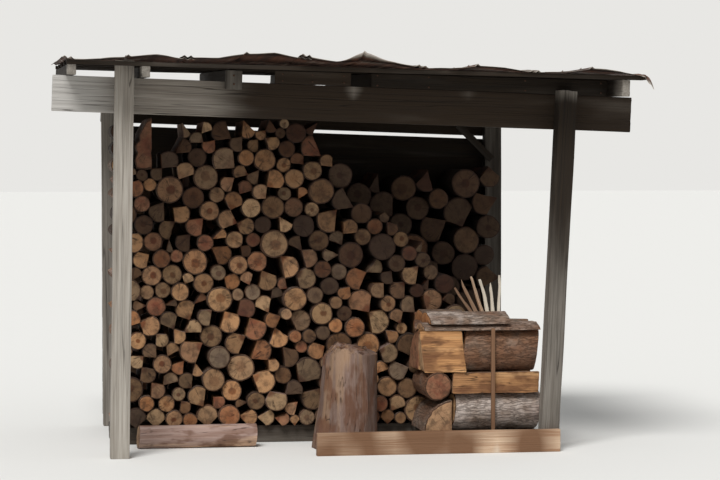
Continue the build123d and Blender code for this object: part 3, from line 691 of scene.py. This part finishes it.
def log_rings(points):
    """A log's long axis, 0 or 1, where its two ends lie on it, and each end's ring of corners."""
    tries = []
    for axis, side in ((0, 1), (1, 0)):
        low, high = ends_of(point[axis] for point in points)
        near = [complex(point[side], point.z) for point in points if point[axis] - low < FLAT]
        far = [complex(point[side], point.z) for point in points if high - point[axis] < FLAT]
        between = len(points) - len(near) - len(far) if min(len(near), len(far)) > 2 else len(points)
        tries.append((between, axis, (low, high), near, far))
    _, axis, ends, near, far = min(tries, key=lambda each: each[0])
    return axis, ends, [corners_only(ring) for ring in (near, far)]


def turn_at(ring, index):
    """How sharply a ring turns at one of its points."""
    before, after = ring[index] - ring[index - 1], ring[(index + 1) % len(ring)] - ring[index]
    return abs(cmath.phase(after * before.conjugate()))


def corners_only(ring):
    """A ring's corners in order about their middle, without those on its straight sides."""
    middle = sum(ring) / len(ring)
    ring = sorted(ring, key=lambda corner: cmath.phase(corner - middle))
    kept = []
    for index, here in enumerate(ring):
        room = min(abs(here - ring[index - 1]), abs(here - ring[(index + 1) % len(ring)]))
        if room > FLAT and turn_at(ring, index) > STRAIGHT_ANGLE:
            kept.append(here)
    return kept


def centre_of(ring):
    """The middle of a ring's area."""
    area = middle = 0
    for here, after in zip(ring, ring[1:] + ring[:1]):
        cross = (here.conjugate() * after).imag
        area += cross
        middle += (here + after) * cross
    return middle / (3 * area)


def spread_of(ring, middle):
    """How far a ring's corners stand from its middle, on average."""
    return sum(abs(corner - middle) for corner in ring) / len(ring)


def matched(near, far):
    """The far ring, turned so that its corners answer to the near ring's."""
    if len(far) != len(near):
        near_mid, far_mid = centre_of(near), centre_of(far)
        scale = spread_of(far, far_mid) / spread_of(near, near_mid)
        return [far_mid + (corner - near_mid) * scale for corner in near]
    turns = [far[turn:] + far[:turn] for turn in range(len(far))]
    return min(turns, key=lambda turned: sum(abs(a - b) for a, b in zip(near, turned)))


def split_sides(spans):
    """Which sides of a log are split faces: the widest, and the wider one beside it."""
    count = len(spans)
    widest = max(range(count), key=lambda index: spans[index])
    if spans[widest] < SPLIT_SPAN:
        return set()
    beside = max((widest - 1) % count, (widest + 1) % count, key=lambda index: spans[index])
    return {widest, beside} if spans[beside] > SECOND_SPLIT_SPAN else {widest}


def swung(first, second, centre, share, flat):
    """A point between two corners: on the straight line, or on the way round the centre."""
    if flat:
        return first + (second - first) * share
    reaches = abs(first - centre), abs(second - centre)
    start, end = cmath.phase(first - centre), cmath.phase(second - centre)
    angle = start + ((end - start) % math.tau) * share
    return centre + cmath.rect(reaches[0] + (reaches[1] - reaches[0]) * share, angle)


def outline_of(ring, far, count):
    """Points round both ends of a log: arcs where there is bark, straight lines where it is split."""
    centre, far_centre = centre_of(ring), centre_of(far)
    angles = [cmath.phase(corner - centre) for corner in ring]
    spans = [(end - start) % math.tau for start, end in zip(angles, angles[1:] + angles[:1])]
    flats = split_sides(spans)
    near_points, far_points, kinds = [], [], []
    for index, span in enumerate(spans):
        after = (index + 1) % len(ring)
        flat = index in flats
        steps = max(2, round(count * span / math.tau))
        for share in (step / steps for step in range(steps)):
            near_points.append(swung(ring[index], ring[after], centre, share, flat))
            far_points.append(swung(far[index], far[after], far_centre, share, flat))
            kinds.append(flat)
    return near_points, far_points, kinds, centre


def pith_of(near, kinds, centre, chance):
    """Where a log's growth rings start: near the middle of a round, at the sharp edge of a split."""
    if not any(kinds):
        reach = max(abs(corner - centre) for corner in near)
        return centre + complex(chance.uniform(-0.12, 0.12), chance.uniform(-0.12, 0.12)) * reach
    flats = [index for index, flat in enumerate(kinds) if flat]
    edges = [index for index in flats if kinds[index - 1] and turn_at(near, index) > CORNER_ANGLE]
    if edges:
        apex = near[chance.choice(edges)]
        return apex + (apex - centre) * 0.1
    return sum(near[index] for index in flats) / len(flats)


def spaced(count):
    """Where a long log has rings of points: evenly, and close to each end."""
    return [0.0, 0.015, *(index / count for index in range(1, count)), 0.985, 1.0]


def log(shape, points, chance, tones, reliefs, count=24, stations=LOG_STATIONS, lump=0.07, fullness=-0.25):
    """Adds one log: furrowed bark, fibrous split faces and ends sawn a little askew.

    The tones are as in LOG_TONES, the reliefs are of bark and of split faces, a lump is a share
    of the log's reach, and fullness moves the whole bark outwards."""
    axis, (low, high), (near, far) = log_rings(points)
    near, far, kinds, centre = outline_of(near, matched(near, far), count)
    pith = pith_of(near, kinds, centre, chance)
    carried = dict(zip(LOG_TONES, tones), log_seed=chance.random())
    shift = drawn_shift(chance, 50)
    askew = chance.uniform(-0.14, 0.14), chance.uniform(-0.14, 0.14)
    widest = max(abs(corner - pith) for corner in near)
    reach = max(abs(corner - centre) for corner in near)
    bark_shares = [((not kinds[index - 1]) + (not flat)) / 2 for index, flat in enumerate(kinds)]

    def add(spot, along, rim, barked):
        away = spot - pith
        return shape.point(
            (along, spot.real, spot.imag) if axis == 0 else (spot.real, along, spot.imag),
            log_place=(away.real, along + shift.y * 0.1, away.imag),
            heart=min(1.0, abs(away) / widest),
            rim=rim,
            barked=barked,
            **carried,
        )

    def tilt(spot):
        return askew[0] * (spot - centre).real + askew[1] * (spot - centre).imag

    rings = []
    for share in stations:
        ring = []
        for first, second, barked in zip(near, far, bark_shares):
            spot = first + (second - first) * share
            along = low + (high - low) * share + tilt(spot)
            out = spot - centre
            place = out.real, along, out.imag
            ridge = ripple(place, BARK_FURROWS, shift, 2.3, 0.3)
            hollow = max(0.0, ripple(place, BARK_HOLLOWS, shift) + 0.05)
            push = reliefs[0 if barked > BARK_FROM else 1] * (ridge + fullness) - lump * reach * hollow
            if share in (0, 1):
                push -= 0.02 * reach
            ring.append(add(centre + out * (1 + push / max(abs(out), 1e-4)), along, 1.0, barked))
        rings.append(ring)
    shape.skin(rings, [2 if flat else 1 for flat in kinds])
    for ring, end, outward in ((rings[0], low, -1), (rings[-1], high, 1)):
        caps = [ring]
        for rim in LOG_END_RIMS:
            inner = []
            for number, barked in zip(ring, bark_shares):
                edge = shape.points[number]
                spot = centre + (complex(edge[1 - axis], edge[2]) - centre) * rim
                saw = 0.0015 + ripple((spot.real, spot.imag, 0), (30, 30, 1), shift) * 0.0016
                inner.append(add(spot, end + tilt(spot) + outward * saw, rim, barked))
            caps.append(inner)
        shape.skin(caps, 0)
        shape.fan(caps[-1], add(centre, end + outward * 0.002, 0.0, 0.5), 0)


def logs_piece(node, slot, seed, tones_of, reliefs, order=None, bark=log_bark, **ways):
    """Dresses every log of a CAD node. The tones come from a log's number, its corners and chance."""
    chance = random.Random(seed)
    shape = Shape(LOG_CARRIES)
    solids = loose_solids(node)
    for index, (points, _) in enumerate(sorted(solids, key=order) if order else solids):
        log(shape, points, chance, tones_of(index, points, chance), reliefs, **ways)
    dress(shape, node, [log_end_grain(), bark(), split_face()])


def row_piece(node, slot, seed, end_tones, painted_shades):
    """Dresses one band of a row. Its shades are painted shade: for every log, for the high and for those at
    the right.
    """

    def tones_of(index, points, chance):
        middle = sum(points, NO_SHIFT) / len(points)
        # Painted shade: darker higher up the stack and towards its right.
        painted_darkening = painted_shades[1] * eased(middle.z, 0.6, 1.7)
        painted_darkening += painted_shades[2] * eased(middle.x, -0.35, 0.15) * eased(middle.z, 0.55, 0.95)
        # A random dark tone for each log, with the painted shade laid on it.
        shade = min(0.9, 0.8 * chance.random() ** 2 + painted_shades[0] + painted_darkening)
        end_tone = chance.choice(end_tones) + chance.uniform(-0.08, 0.08)
        return end_tone, chance.uniform(0.0, 0.5), chance.uniform(0.0, 0.6), shade

    settings = bpy.context.scene.store_firewood
    reliefs = settings.bark_relief, settings.split_relief
    logs_piece(node, slot, seed, tones_of, reliefs, fullness=0.8)


def from_front_and_left(solid):
    """Orders a layer's logs from the front, then from the left."""
    points, _ = solid
    return round(min(point.y for point in points), 2), round(min(point.x for point in points), 2)


def crib_piece(node, seed, *tones_in_order):
    """Dresses one layer of the crib, each log with its own tones, in order from the front and left."""

    def tones_of(index, points, chance):
        return tones_in_order[index % len(tones_in_order)]

    settings = bpy.context.scene.store_firewood
    reliefs = settings.large_relief, settings.split_relief * 4
    ways = {"count": 44, "stations": spaced(12), "lump": 0.06}
    logs_piece(node, "golden_splits", seed, tones_of, reliefs, from_front_and_left, **ways)


def foot_pole_piece():
    """The grey pole at the foot of the stack, its bark gone."""

    def tones_of(index, points, chance):
        return 0.1, 0.62, -0.1, 0.05

    relief = bpy.context.scene.store_firewood.split_relief
    ways = {"bark": split_face, "count": 36, "stations": spaced(14), "lump": 0.06}
    logs_piece("foot_pole", "grey_timber", 31, tones_of, (relief, relief), **ways)


def nail_head(shape, place, outward, radius):
    """Adds one domed nail head on a surface."""
    side = outward.orthogonal().normalized()
    other = outward.cross(side)
    rings = []
    for share, lift in ((1.0, -0.001), (0.86, 0.0012), (0.45, 0.0022)):
        ring = []
        for index in range(8):
            angle = math.tau * index / 8
            round_it = side * math.cos(angle) + other * math.sin(angle)
            spot = place + round_it * radius * share + outward * lift
            ring.append(shape.point(spot, grain=spot))
        rings.append(ring)
    shape.skin(rings, 0)
    shape.face(tuple(rings[-1]))


def middle_x(node):
    """Where a CAD node's middle stands along the store."""
    low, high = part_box(node)
    return (low.x + high.x) / 2


def level_at(points, x):
    """The height of a board's middle at x, from its two ends."""
    middle = sum(ends_of(point.x for point in points)) / 2
    sides = []
    for is_left in (True, False):
        corners = [point for point in points if (point.x < middle) == is_left]
        sides.append(sum(corners, NO_SHIFT) / len(corners))
    left, right = sides
    return left.z + (right.z - left.z) * (x - left.x) / (right.x - left.x)


def board_nails(shape, node, places, way, radius):
    """Two nails through each board of a node at each place along it. They face the rear if the way is 1."""
    for points, _ in loose_solids(node):
        low, high = ends_of(point.x for point in points)
        front, rear = ends_of(point.y for point in points)
        bottom, top = ends_of(point.z for point in points)
        for x in places:
            if low < x < high:
                for side in (-0.22, 0.22):
                    level = level_at(points, x) + side * min(top - bottom, 0.19)
                    spot = Vector((x, rear if way > 0 else front, level))
                    nail_head(shape, spot, Vector((0, way, 0)), radius)


def nails_piece():
    """The nail heads in the wall boards, upper boards, cleat and roof sheets."""
    shape = Shape(("grain",))
    rear_posts = middle_x("rear_left_post"), middle_x("rear_right_post")
    board_nails(shape, "rear_wall_boards", rear_posts, 1, WALL_NAIL)
    board_nails(shape, "upper_front_boards", BOARD_NAIL_PLACES, -1, BOARD_NAIL)
    board_nails(shape, "header_cleat", (middle_x("header_cleat"),), -1, WALL_NAIL)
    for index in ROOF_SHEETS:
        node = f"roof_sheet_{index}"
        tree = tree_of(node)
        low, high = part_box(node)
        for x_share in NAILS_ACROSS:
            for y_share in NAILS_DOWN:
                x = low.x + (high.x - low.x) * x_share
                y = low.y + (high.y - low.y) * y_share
                spot, normal, _, _ = tree.ray_cast(Vector((x, y, high.z + 1)), -UP)
                nail_head(shape, spot, normal, ROOF_NAIL)
    piece_from(shape, "nail_heads", [rusty_nail()])


def bent_lip(x):
    """How far the roof's front edge is bent: up in a curl near the middle, down at its right corner."""
    return 0.036 * hump(x, 0.02, 0.08) - 0.085 * eased(x, 1.5, 1.6)


def roof_sheet_piece(index):
    """A thin crimped sheet over one CAD sheet, its front edge ragged and bent."""
    settings = bpy.context.scene.store_roof
    node = f"roof_sheet_{index}"
    tree = tree_of(node)
    low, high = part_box(node)
    shift = drawn_shift(random.Random(70 + index), 20, 2)
    columns, rows = 96, 46
    side_gap, end_gap, sunk = 0.004, 0.005, 0.0012  # From the CAD sheet's edges and top.
    shape = Shape(("sheet_place", "lip"))
    tops, bottoms = [], []
    for row in range(rows + 1):
        share = (row / rows) ** 1.25
        front = max(0.0, 1 - share * 14) ** 2
        line = []
        for column in range(columns + 1):
            x = low.x + side_gap + (high.x - low.x - 2 * side_gap) * column / columns
            y = low.y + end_gap + (high.y - low.y - 2 * end_gap) * share
            hit = tree.ray_cast(Vector((x, y, high.z + 1)), -UP)[0]
            bend = front * (settings.curl * ripple((x, index, 0), (5, 7, 1)) + bent_lip(x))
            dent = 0.0012 * ripple((x, share, 0), (9, 4, 1), shift)
            z = (hit.z if hit else high.z) - sunk + bend + dent
            y += settings.ragged * ripple((x, index, 0), (16, 1, 1), shift) * (1 - share) ** 8
            # Wear and painted highlight along the front edge, strongest on the curl near the middle.
            lip_wear_and_highlight = (1 + 0.6 * hump(x, 0.07, 0.16)) * max(0.0, 1 - share * 30)
            line.append((x, y, z, lip_wear_and_highlight))
        for side, drop in ((tops, 0.0), (bottoms, settings.tin)):
            side.append([
                shape.point((x, y, z - drop), sheet_place=(x + shift.x, y + shift.y, z), lip=lip)
                for x, y, z, lip in line
            ])
    strips = list(zip(tops, tops[1:], bottoms, bottoms[1:]))
    for top, next_top, under, next_under in strips:
        for column in range(columns):
            after = column + 1
            shape.face((top[column], top[after], next_top[after], next_top[column]))
            shape.face((under[column], next_under[column], next_under[after], under[after]))
    for column in range(columns):
        after = column + 1
        for row in (0, rows):
            shape.face((tops[row][column], bottoms[row][column], bottoms[row][after], tops[row][after]))
    for top, next_top, under, next_under in strips:
        for column in (0, columns):
            shape.face((top[column], next_top[column], next_under[column], under[column]))
    dress(shape, node, [rusty_tin()])


def chopping_block_piece():
    """The chopping block: a flared foot, bare streaked sides and a broken, hacked top."""
    settings = bpy.context.scene.store_firewood
    node = "chopping_block"
    tree = tree_of(node)
    low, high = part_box(node)
    centre = (low + high) / 2
    shift = drawn_shift(random.Random(9), 50, 2)
    count, levels = 72, 26
    shape = Shape(LOG_CARRIES)

    def add(across, depth, up, rim, barked=1.0):
        return shape.point(
            (centre.x + across, centre.y + depth, up),
            log_place=(across, up, depth),
            log_seed=0.4,
            # A dark tone over the whole block, and painted shade that darkens its sides more than its
            # middle.
            shade=0.6 - 0.22 * hump(across, 0, 0.07),
            heart=min(1.0, math.hypot(across, depth) / 0.16),
            rim=rim,
            barked=barked,
            end_tone=0.24,
            bark_tone=0.2,
            split_tone=0.1,
        )

    def reach_at(angle, height):
        """How far the solid reaches from its middle, or 0 above its broken top."""
        out = Vector((math.cos(angle), math.sin(angle), 0))
        middle = Vector((centre.x, centre.y, height))
        hit = tree.ray_cast(middle + out, -out)[0]
        return (hit - middle).length if hit else 0.0

    def top_at(across, depth):
        return tree.ray_cast(Vector((centre.x + across, centre.y + depth, high.z + 0.5)), -UP)[0]

    angles = [math.tau * index / count for index in range(count)]
    rim_heights = []
    for angle in angles:
        height = high.z
        while reach_at(angle, height) < 0.1:
            height -= 0.004
        rim_heights.append(height)
    rings = []
    for share in (level / levels for level in range(levels + 1)):
        ring = []
        for angle, top in zip(angles, rim_heights):
            x, y = math.cos(angle), math.sin(angle)
            height = max(0.002, (top - 0.003) * share)
            furrow = ripple((x, y, height), (7, 7, 5), shift, 2.7, 0.4)
            foot = 0.012 * max(0.0, 1 - share * 3) * ripple((x * 2.2, y * 2.2, 3))
            radius = (reach_at(angle, height) or 0.14) + settings.large_relief * 1.6 * (furrow - 0.2) + foot
            jag = 0.012 * ripple((x * 9, y * 9, 8)) * share**6
            ring.append(add(radius * x, radius * y, max(0.0, height + jag), 1.0))
        rings.append(ring)
    shape.skin(rings, 1)
    caps = [rings[-1]]
    for rim in BLOCK_TOP_RIMS:
        inner = []
        for number in rings[-1]:
            x, y, z = shape.points[number]
            across, depth = (x - centre.x) * rim, (y - centre.y) * rim
            hit = top_at(across, depth)
            splinters = ripple((across * 60, depth * 60, 1)) * 0.016
            splinters += ripple((across * 160, depth * 160, 2)) * 0.006
            inner.append(add(across, depth, min(hit.z if hit else z, z + 0.05) + splinters - 0.006, rim))
        caps.append(inner)
    shape.skin(caps[:3], 0)
    shape.skin(caps[2:], 1)
    shape.fan(caps[-1], add(0, 0, top_at(0, 0).z - 0.006, 0.0, 0.5), 1)
    dress(shape, node, [log_end_grain(), split_face()])


def splinter(shape, solid, chance, brown):
    """Adds one split stick: uneven sides, a slight bend and a torn tip."""
    work = mesh_work(solid)
    along, across, through = timber_axes(work)
    ends = [ends_of(vertex.co.dot(way) for vertex in work.verts) for way in (along, across, through)]
    work.free()
    (low, high), (left, right), (near, far) = ends
    length = (high - low) * chance.uniform(0.8, 1.0)
    half = (right - left) / 2, (far - near) / 2
    sides, stations = 6, 14
    corners = [
        (math.tau * (index + chance.uniform(-0.3, 0.3)) / sides, chance.uniform(0.75, 1.2))
        for index in range(sides)
    ]
    shift = drawn_shift(chance, 9)
    tint = chance.random()
    rings = []
    for share in (station / stations for station in range(stations + 1)):
        bend = [0.012 * share * ripple((share * 1.6, side, 0), shift=shift) for side in (2, 5)]
        slim = 1.2 - 0.4 * share + 0.2 * ripple((share * 6, 9, 0), shift=shift)
        ring = []
        for angle, reach in corners:
            a = (left + right) / 2 + bend[0] + half[0] * reach * slim * math.cos(angle)
            b = (near + far) / 2 + bend[1] + half[1] * reach * slim * math.sin(angle)
            run = low + length * share - max(0.0, 0.05 * share**8 * math.cos(angle + tint * 6))
            spot = along * run + across * a + through * b
            ring.append(shape.point(spot, grain=Vector((a, run, b)) + shift, brown_share=brown, tint=tint))
        rings.append(ring)
    shape.skin(rings, 0)
    shape.face(tuple(rings[0]))
    shape.face(tuple(rings[-1]))


def kindling_piece():
    """The pale splits on the crib, the left ones browner as painted shade for the dark they lie in."""
    chance = random.Random(16)
    shape = Shape(TIMBER_CARRIES)
    sticks = sorted(loose_solids("kindling"), key=lambda solid: sum(point.x for point in solid[0]))
    for index, solid in enumerate(sticks):
        # Painted shade: the sticks are browner towards the left, and paler towards the right.
        splinter(shape, solid, chance, 0.85 - 1.35 * eased(index, 0.2, 3.2))
    dress(shape, "kindling", [pale_split_timber()])


def right_post_brown(place):
    """How brown the front right post is: more towards its head, and less at the very top."""
    return 0.52 + 0.42 * eased(place.z, 0.55, 1.5) - 0.5 * eased(place.z, 1.86, 1.92)


def header_brown(place):
    """How brown the header is: paler at its left end as painted light, brown past the cleat, with two pale
    scrapes.
    """
    # Below 0 at the left end: painted light.
    brown = -0.42 + 0.42 * eased(place.x, -1.5, -0.95) + eased(place.x, -0.9, -0.4)
    for x in (0.036, 0.62):
        brown -= 0.8 * hump(place.x, x, 0.03) * eased(place.z, 1.86, 1.92)
    return brown - 0.12 * eased(place.x, 1.2, 1.45)


def rafter_brown(place):
    """How brown the rafters are: greyer at their front ends."""
    return 0.45 + 0.5 * eased(place.y, -1.0, -0.8)


def wall_brown(place):
    """How brown the wall boards are: greyer on their rear faces."""
    return 0.45 if place.y > 0.829 else 1.0


def sill_brown(place):
    """How brown the sill is, in patches along it."""
    return 0.5 + 1.5 * ripple((place.x * 5.5, place.z * 3, 2.7))


class DressPosts(bpy.types.Operator):
    """Dress the four posts: the left ones grey, the right ones browner towards their heads"""

    bl_idname = "store.dress_posts"
    bl_label = "Posts"

    def execute(self, context):
        timber_piece("front_left_post", "grey_timber", 0.06, 1, rough=1.5)
        timber_piece("rear_left_post", "brown_timber", 0.4, 2, rough=1.5)
        timber_piece("front_right_post", "grey_timber", right_post_brown, 3, rough=2.2)
        timber_piece("rear_right_post", "brown_timber", 0.8, 4, rough=1.8)
        return {"FINISHED"}


class DressBeams(bpy.types.Operator):
    """Dress the front header, silver at its left end and brown at its right, and the rear beam"""

    bl_idname = "store.dress_beams"
    bl_label = "Header and rear beam"

    def execute(self, context):
        timber_piece("front_header", "grey_timber", header_brown, 5)
        timber_piece("rear_beam", "brown_timber", 0.75, 6)
        return {"FINISHED"}


class DressRoofTimbers(bpy.types.Operator):
    """Dress the rafters, purlins, upper front boards, cleat and knee brace"""

    bl_idname = "store.dress_roof_timbers"
    bl_label = "Roof timbers"

    def execute(self, context):
        timber_piece("rafters", "brown_timber", rafter_brown, 7)
        timber_piece("purlins", "brown_timber", 0.9, 8)
        timber_piece("upper_front_boards", "brown_timber", 0.98, 9)
        timber_piece("header_cleat", "grey_timber", 0.7, 10, steps=(0.03, 0.016))
        timber_piece("rear_right_brace", "brown_timber", 0.9, 11)
        return {"FINISHED"}


class DressRoofSheets(bpy.types.Operator):
    """Dress the five crimped roof sheets in rusty tin with ragged front edges"""

    bl_idname = "store.dress_roof_sheets"
    bl_label = "Roof sheets"

    def execute(self, context):
        for index in ROOF_SHEETS:
            roof_sheet_piece(index)
        return {"FINISHED"}


class DressRearWall(bpy.types.Operator):
    """Dress the dark level boards behind the stack"""

    bl_idname = "store.dress_rear_wall"
    bl_label = "Rear wall"

    def execute(self, context):
        ways = {"rough": 0.4, "swollen": 0.9, "dark_joint": 0.7}
        timber_piece("rear_wall_boards", "wall_boards", wall_brown, 12, **ways)
        return {"FINISHED"}


class DressFrontRow(bpy.types.Operator):
    """Dress the front row of small round and split logs"""

    bl_idname = "store.dress_front_row"
    bl_label = "Front row"

    def execute(self, context):
        tones = (0.02, 0.1, 0.24, 0.3, 0.36, 0.5, 0.58, 0.7, 0.78, 0.96)
        for index in FRONT_BANDS:
            # The shades are painted shade: darker higher up and towards the right.
            row_piece(f"front_row_logs_{index}", "stacked_logs", 200 + index, tones, (0.0, 0.34, 0.42))
        return {"FINISHED"}


class DressRearRow(bpy.types.Operator):
    """Dress the rear row of larger, older logs, darkened all over by painted shade"""

    bl_idname = "store.dress_rear_row"
    bl_label = "Rear row"

    def execute(self, context):
        tones = (0.0, 0.05, 0.14, 0.25, 0.34, 0.7)
        for index in REAR_BANDS:
            # Painted shade: the whole rear row darker, and more so higher up.
            row_piece(f"rear_row_logs_{index}", "rear_logs", 300 + index, tones, (0.6, 0.3, 0.0))
        return {"FINISHED"}


class DressBearers(bpy.types.Operator):
    """Dress the bearers under the rows and the crib"""

    bl_idname = "store.dress_bearers"
    bl_label = "Bearers"

    def execute(self, context):
        timber_piece("front_row_bearers", "brown_timber", 0.7, 13)
        timber_piece("rear_row_bearers", "brown_timber", 0.7, 14)
        timber_piece("crib_bearers", "brown_timber", 0.85, 15)
        return {"FINISHED"}


class DressCrib(bpy.types.Operator):
    """Dress the crib's layers: lichened and brown bark, golden and pale split faces"""

    bl_idname = "store.dress_crib"
    bl_label = "Crib"

    def execute(self, context):
        crib_piece("crib_layer_1", 41, (0.9, 0.35, 0.5, 0.1), (0.3, 0.78, 0.4, 0.0), (0.3, 0.5, 0.4, 0.2))
        crib_piece("crib_layer_2", 42, (0.78, 0.1, 0.55, 0.1), (0.9, 0.3, 0.75, 0.1), (0.5, 0.3, 0.7, 0.2))
        third = (0.95, 0.3, 1.0, 0.0), (0.4, 0.1, 0.5, 0.0), (0.8, 0.3, 0.8, 0.1), (0.4, 0.2, 0.5, 0.2)
        crib_piece("crib_layer_3", 43, *third)
        crib_piece("crib_layer_4", 44, (0.9, 0.45, 0.95, 0.0), (0.6, 0.4, 0.7, 0.1))
        crib_piece("crib_layer_5", 45, (0.5, 0.6, 0.6, 0.0), (0.5, 0.5, 0.6, 0.1))
        return {"FINISHED"}


class DressSmallWood(bpy.types.Operator):
    """Dress the kindling, the stake, the sill, the pole and the chopping block"""

    bl_idname = "store.dress_small_wood"
    bl_label = "Kindling, stake, sill, pole and block"

    def execute(self, context):
        kindling_piece()
        timber_piece("crib_stake", "brown_timber", 0.95, 17, pale_split_timber, steps=(0.03, 0.008))
        timber_piece("front_sill", "brown_timber", sill_brown, 18, pale_split_timber)
        foot_pole_piece()
        chopping_block_piece()
        return {"FINISHED"}


class AddNails(bpy.types.Operator):
    """Add the nail heads in the boards, the cleat and the roof sheets"""

    bl_idname = "store.add_nails"
    bl_label = "Nail heads"

    def execute(self, context):
        nails_piece()
        return {"FINISHED"}


class SetStage(bpy.types.Operator):
    """Lay the pale floor, and set the soft light and the camera"""

    bl_idname = "store.set_stage"
    bl_label = "Floor, light and camera"

    def execute(self, context):
        settings = context.scene.store_stage
        self.lay_floor(context.scene, settings)
        self.light(context.scene, settings)
        self.aim_camera(context.scene, settings)
        context.scene.view_settings.view_transform = "Standard"
        return {"FINISHED"}

    def lay_floor(self, scene, settings):
        """A wide plain floor at ground level."""
        half = 90
        mesh = bpy.data.meshes.new("floor")
        corners = [(x * half, y * half, 0) for x, y in ((-1, -1), (1, -1), (1, 1), (-1, 1))]
        mesh.from_pydata(corners, [], [(0, 1, 2, 3)])
        finish = Finish("Pale floor", {"Roughness": 0.9, "Specular IOR Level": 0.1})
        cloud = finish.noise(finish.node("ShaderNodeTexCoord", {}, {}, "Object"), 1.5, 2)
        colour = finish.mixed(cloud * 0.1, settings.floor, settings.backdrop)
        finish.feed(finish.shader.inputs["Base Color"], colour)
        mesh.materials.append(finish.material)
        floor = bpy.data.objects.new("floor", mesh)
        scene.collection.objects.link(floor)

    def light(self, scene, settings):
        """Even light from all round and one soft lamp high at the front left."""
        scene.world = bpy.data.worlds.new("Soft light")
        nodes = Nodes(scene.world)
        shown = 0.0
        for ray in ("Camera", "Glossy", "Transmission"):
            seen = nodes.node("ShaderNodeLightPath", {}, {}, f"Is {ray} Ray")
            shown = seen.worked("MAXIMUM", seen, shown)
        backdrop = nodes.node("ShaderNodeBackground", {}, {"Color": settings.backdrop})
        sky = nodes.node("ShaderNodeBackground", {}, {"Color": (0.97, 0.985, 1), "Strength": settings.sky})
        both = nodes.node("ShaderNodeMixShader", {}, {0: shown, 1: sky, 2: backdrop})
        nodes.node("ShaderNodeOutputWorld", {}, {"Surface": both}, None)
        lamp = bpy.data.lights.new("Soft lamp", "SUN")
        lamp.energy = settings.lamp
        lamp.angle = math.radians(24)
        self.put(scene, lamp, (0, 0, 0), Vector((0.3, 0.6, -0.92)))

    def aim_camera(self, scene, settings):
        """A camera at the photograph's viewing angle, its lens long so that the store fills the frame."""
        lens = bpy.data.cameras.new("Camera")
        lens.lens = settings.lens
        lens.clip_end = 400
        scene.camera = self.put(scene, lens, settings.eye, Vector(settings.target) - Vector(settings.eye))

    @staticmethod
    def put(scene, data, place, way):
        """Puts a lamp or a camera at a place, aimed along a way."""
        holder = bpy.data.objects.new(data.name, data)
        holder.location = place
        holder.rotation_mode = "QUATERNION"
        holder.rotation_quaternion = way.to_track_quat("-Z", "Y")
        scene.collection.objects.link(holder)
        return holder


OPERATORS = (
    DressPosts,
    DressBeams,
    DressRoofTimbers,
    DressRoofSheets,
    DressRearWall,
    DressFrontRow,
    DressRearRow,
    DressBearers,
    DressCrib,
    DressSmallWood,
    AddNails,
    SetStage,
)
SETTINGS = {
    "store_timbers": TimberSettings,
    "store_firewood": FirewoodSettings,
    "store_roof": RoofSettings,
    "store_stage": StageSettings,
}


class StorePanel(bpy.types.Panel):
    """The log store's settings and the steps that dress it"""

    bl_idname = "VIEW3D_PT_log_store"
    bl_label = "Log store"
    bl_space_type = "VIEW_3D"
    bl_region_type = "UI"
    bl_category = "Log store"

    def draw(self, context):
        for operator in OPERATORS:
            self.layout.operator(operator.bl_idname)
        for name, group in SETTINGS.items():
            box = self.layout.box()
            for label in group.__annotations__:
                box.prop(getattr(context.scene, name), label)


def register():
    """Registers the settings, the operators and the panel."""
    for name, group in SETTINGS.items():
        bpy.utils.register_class(group)
        setattr(bpy.types.Scene, name, bpy.props.PointerProperty(type=group))
    for each in (*OPERATORS, StorePanel):
        bpy.utils.register_class(each)


def unregister():
    """Takes back what register added."""
    for each in reversed((*OPERATORS, StorePanel)):
        bpy.utils.unregister_class(each)
    for name, group in SETTINGS.items():
        delattr(bpy.types.Scene, name)
        bpy.utils.unregister_class(group)


def main():
    register()
    for operator in OPERATORS:
        group, name = operator.bl_idname.split(".")
        getattr(getattr(bpy.ops, group), name)()


if __name__ == "__main__":
    main()
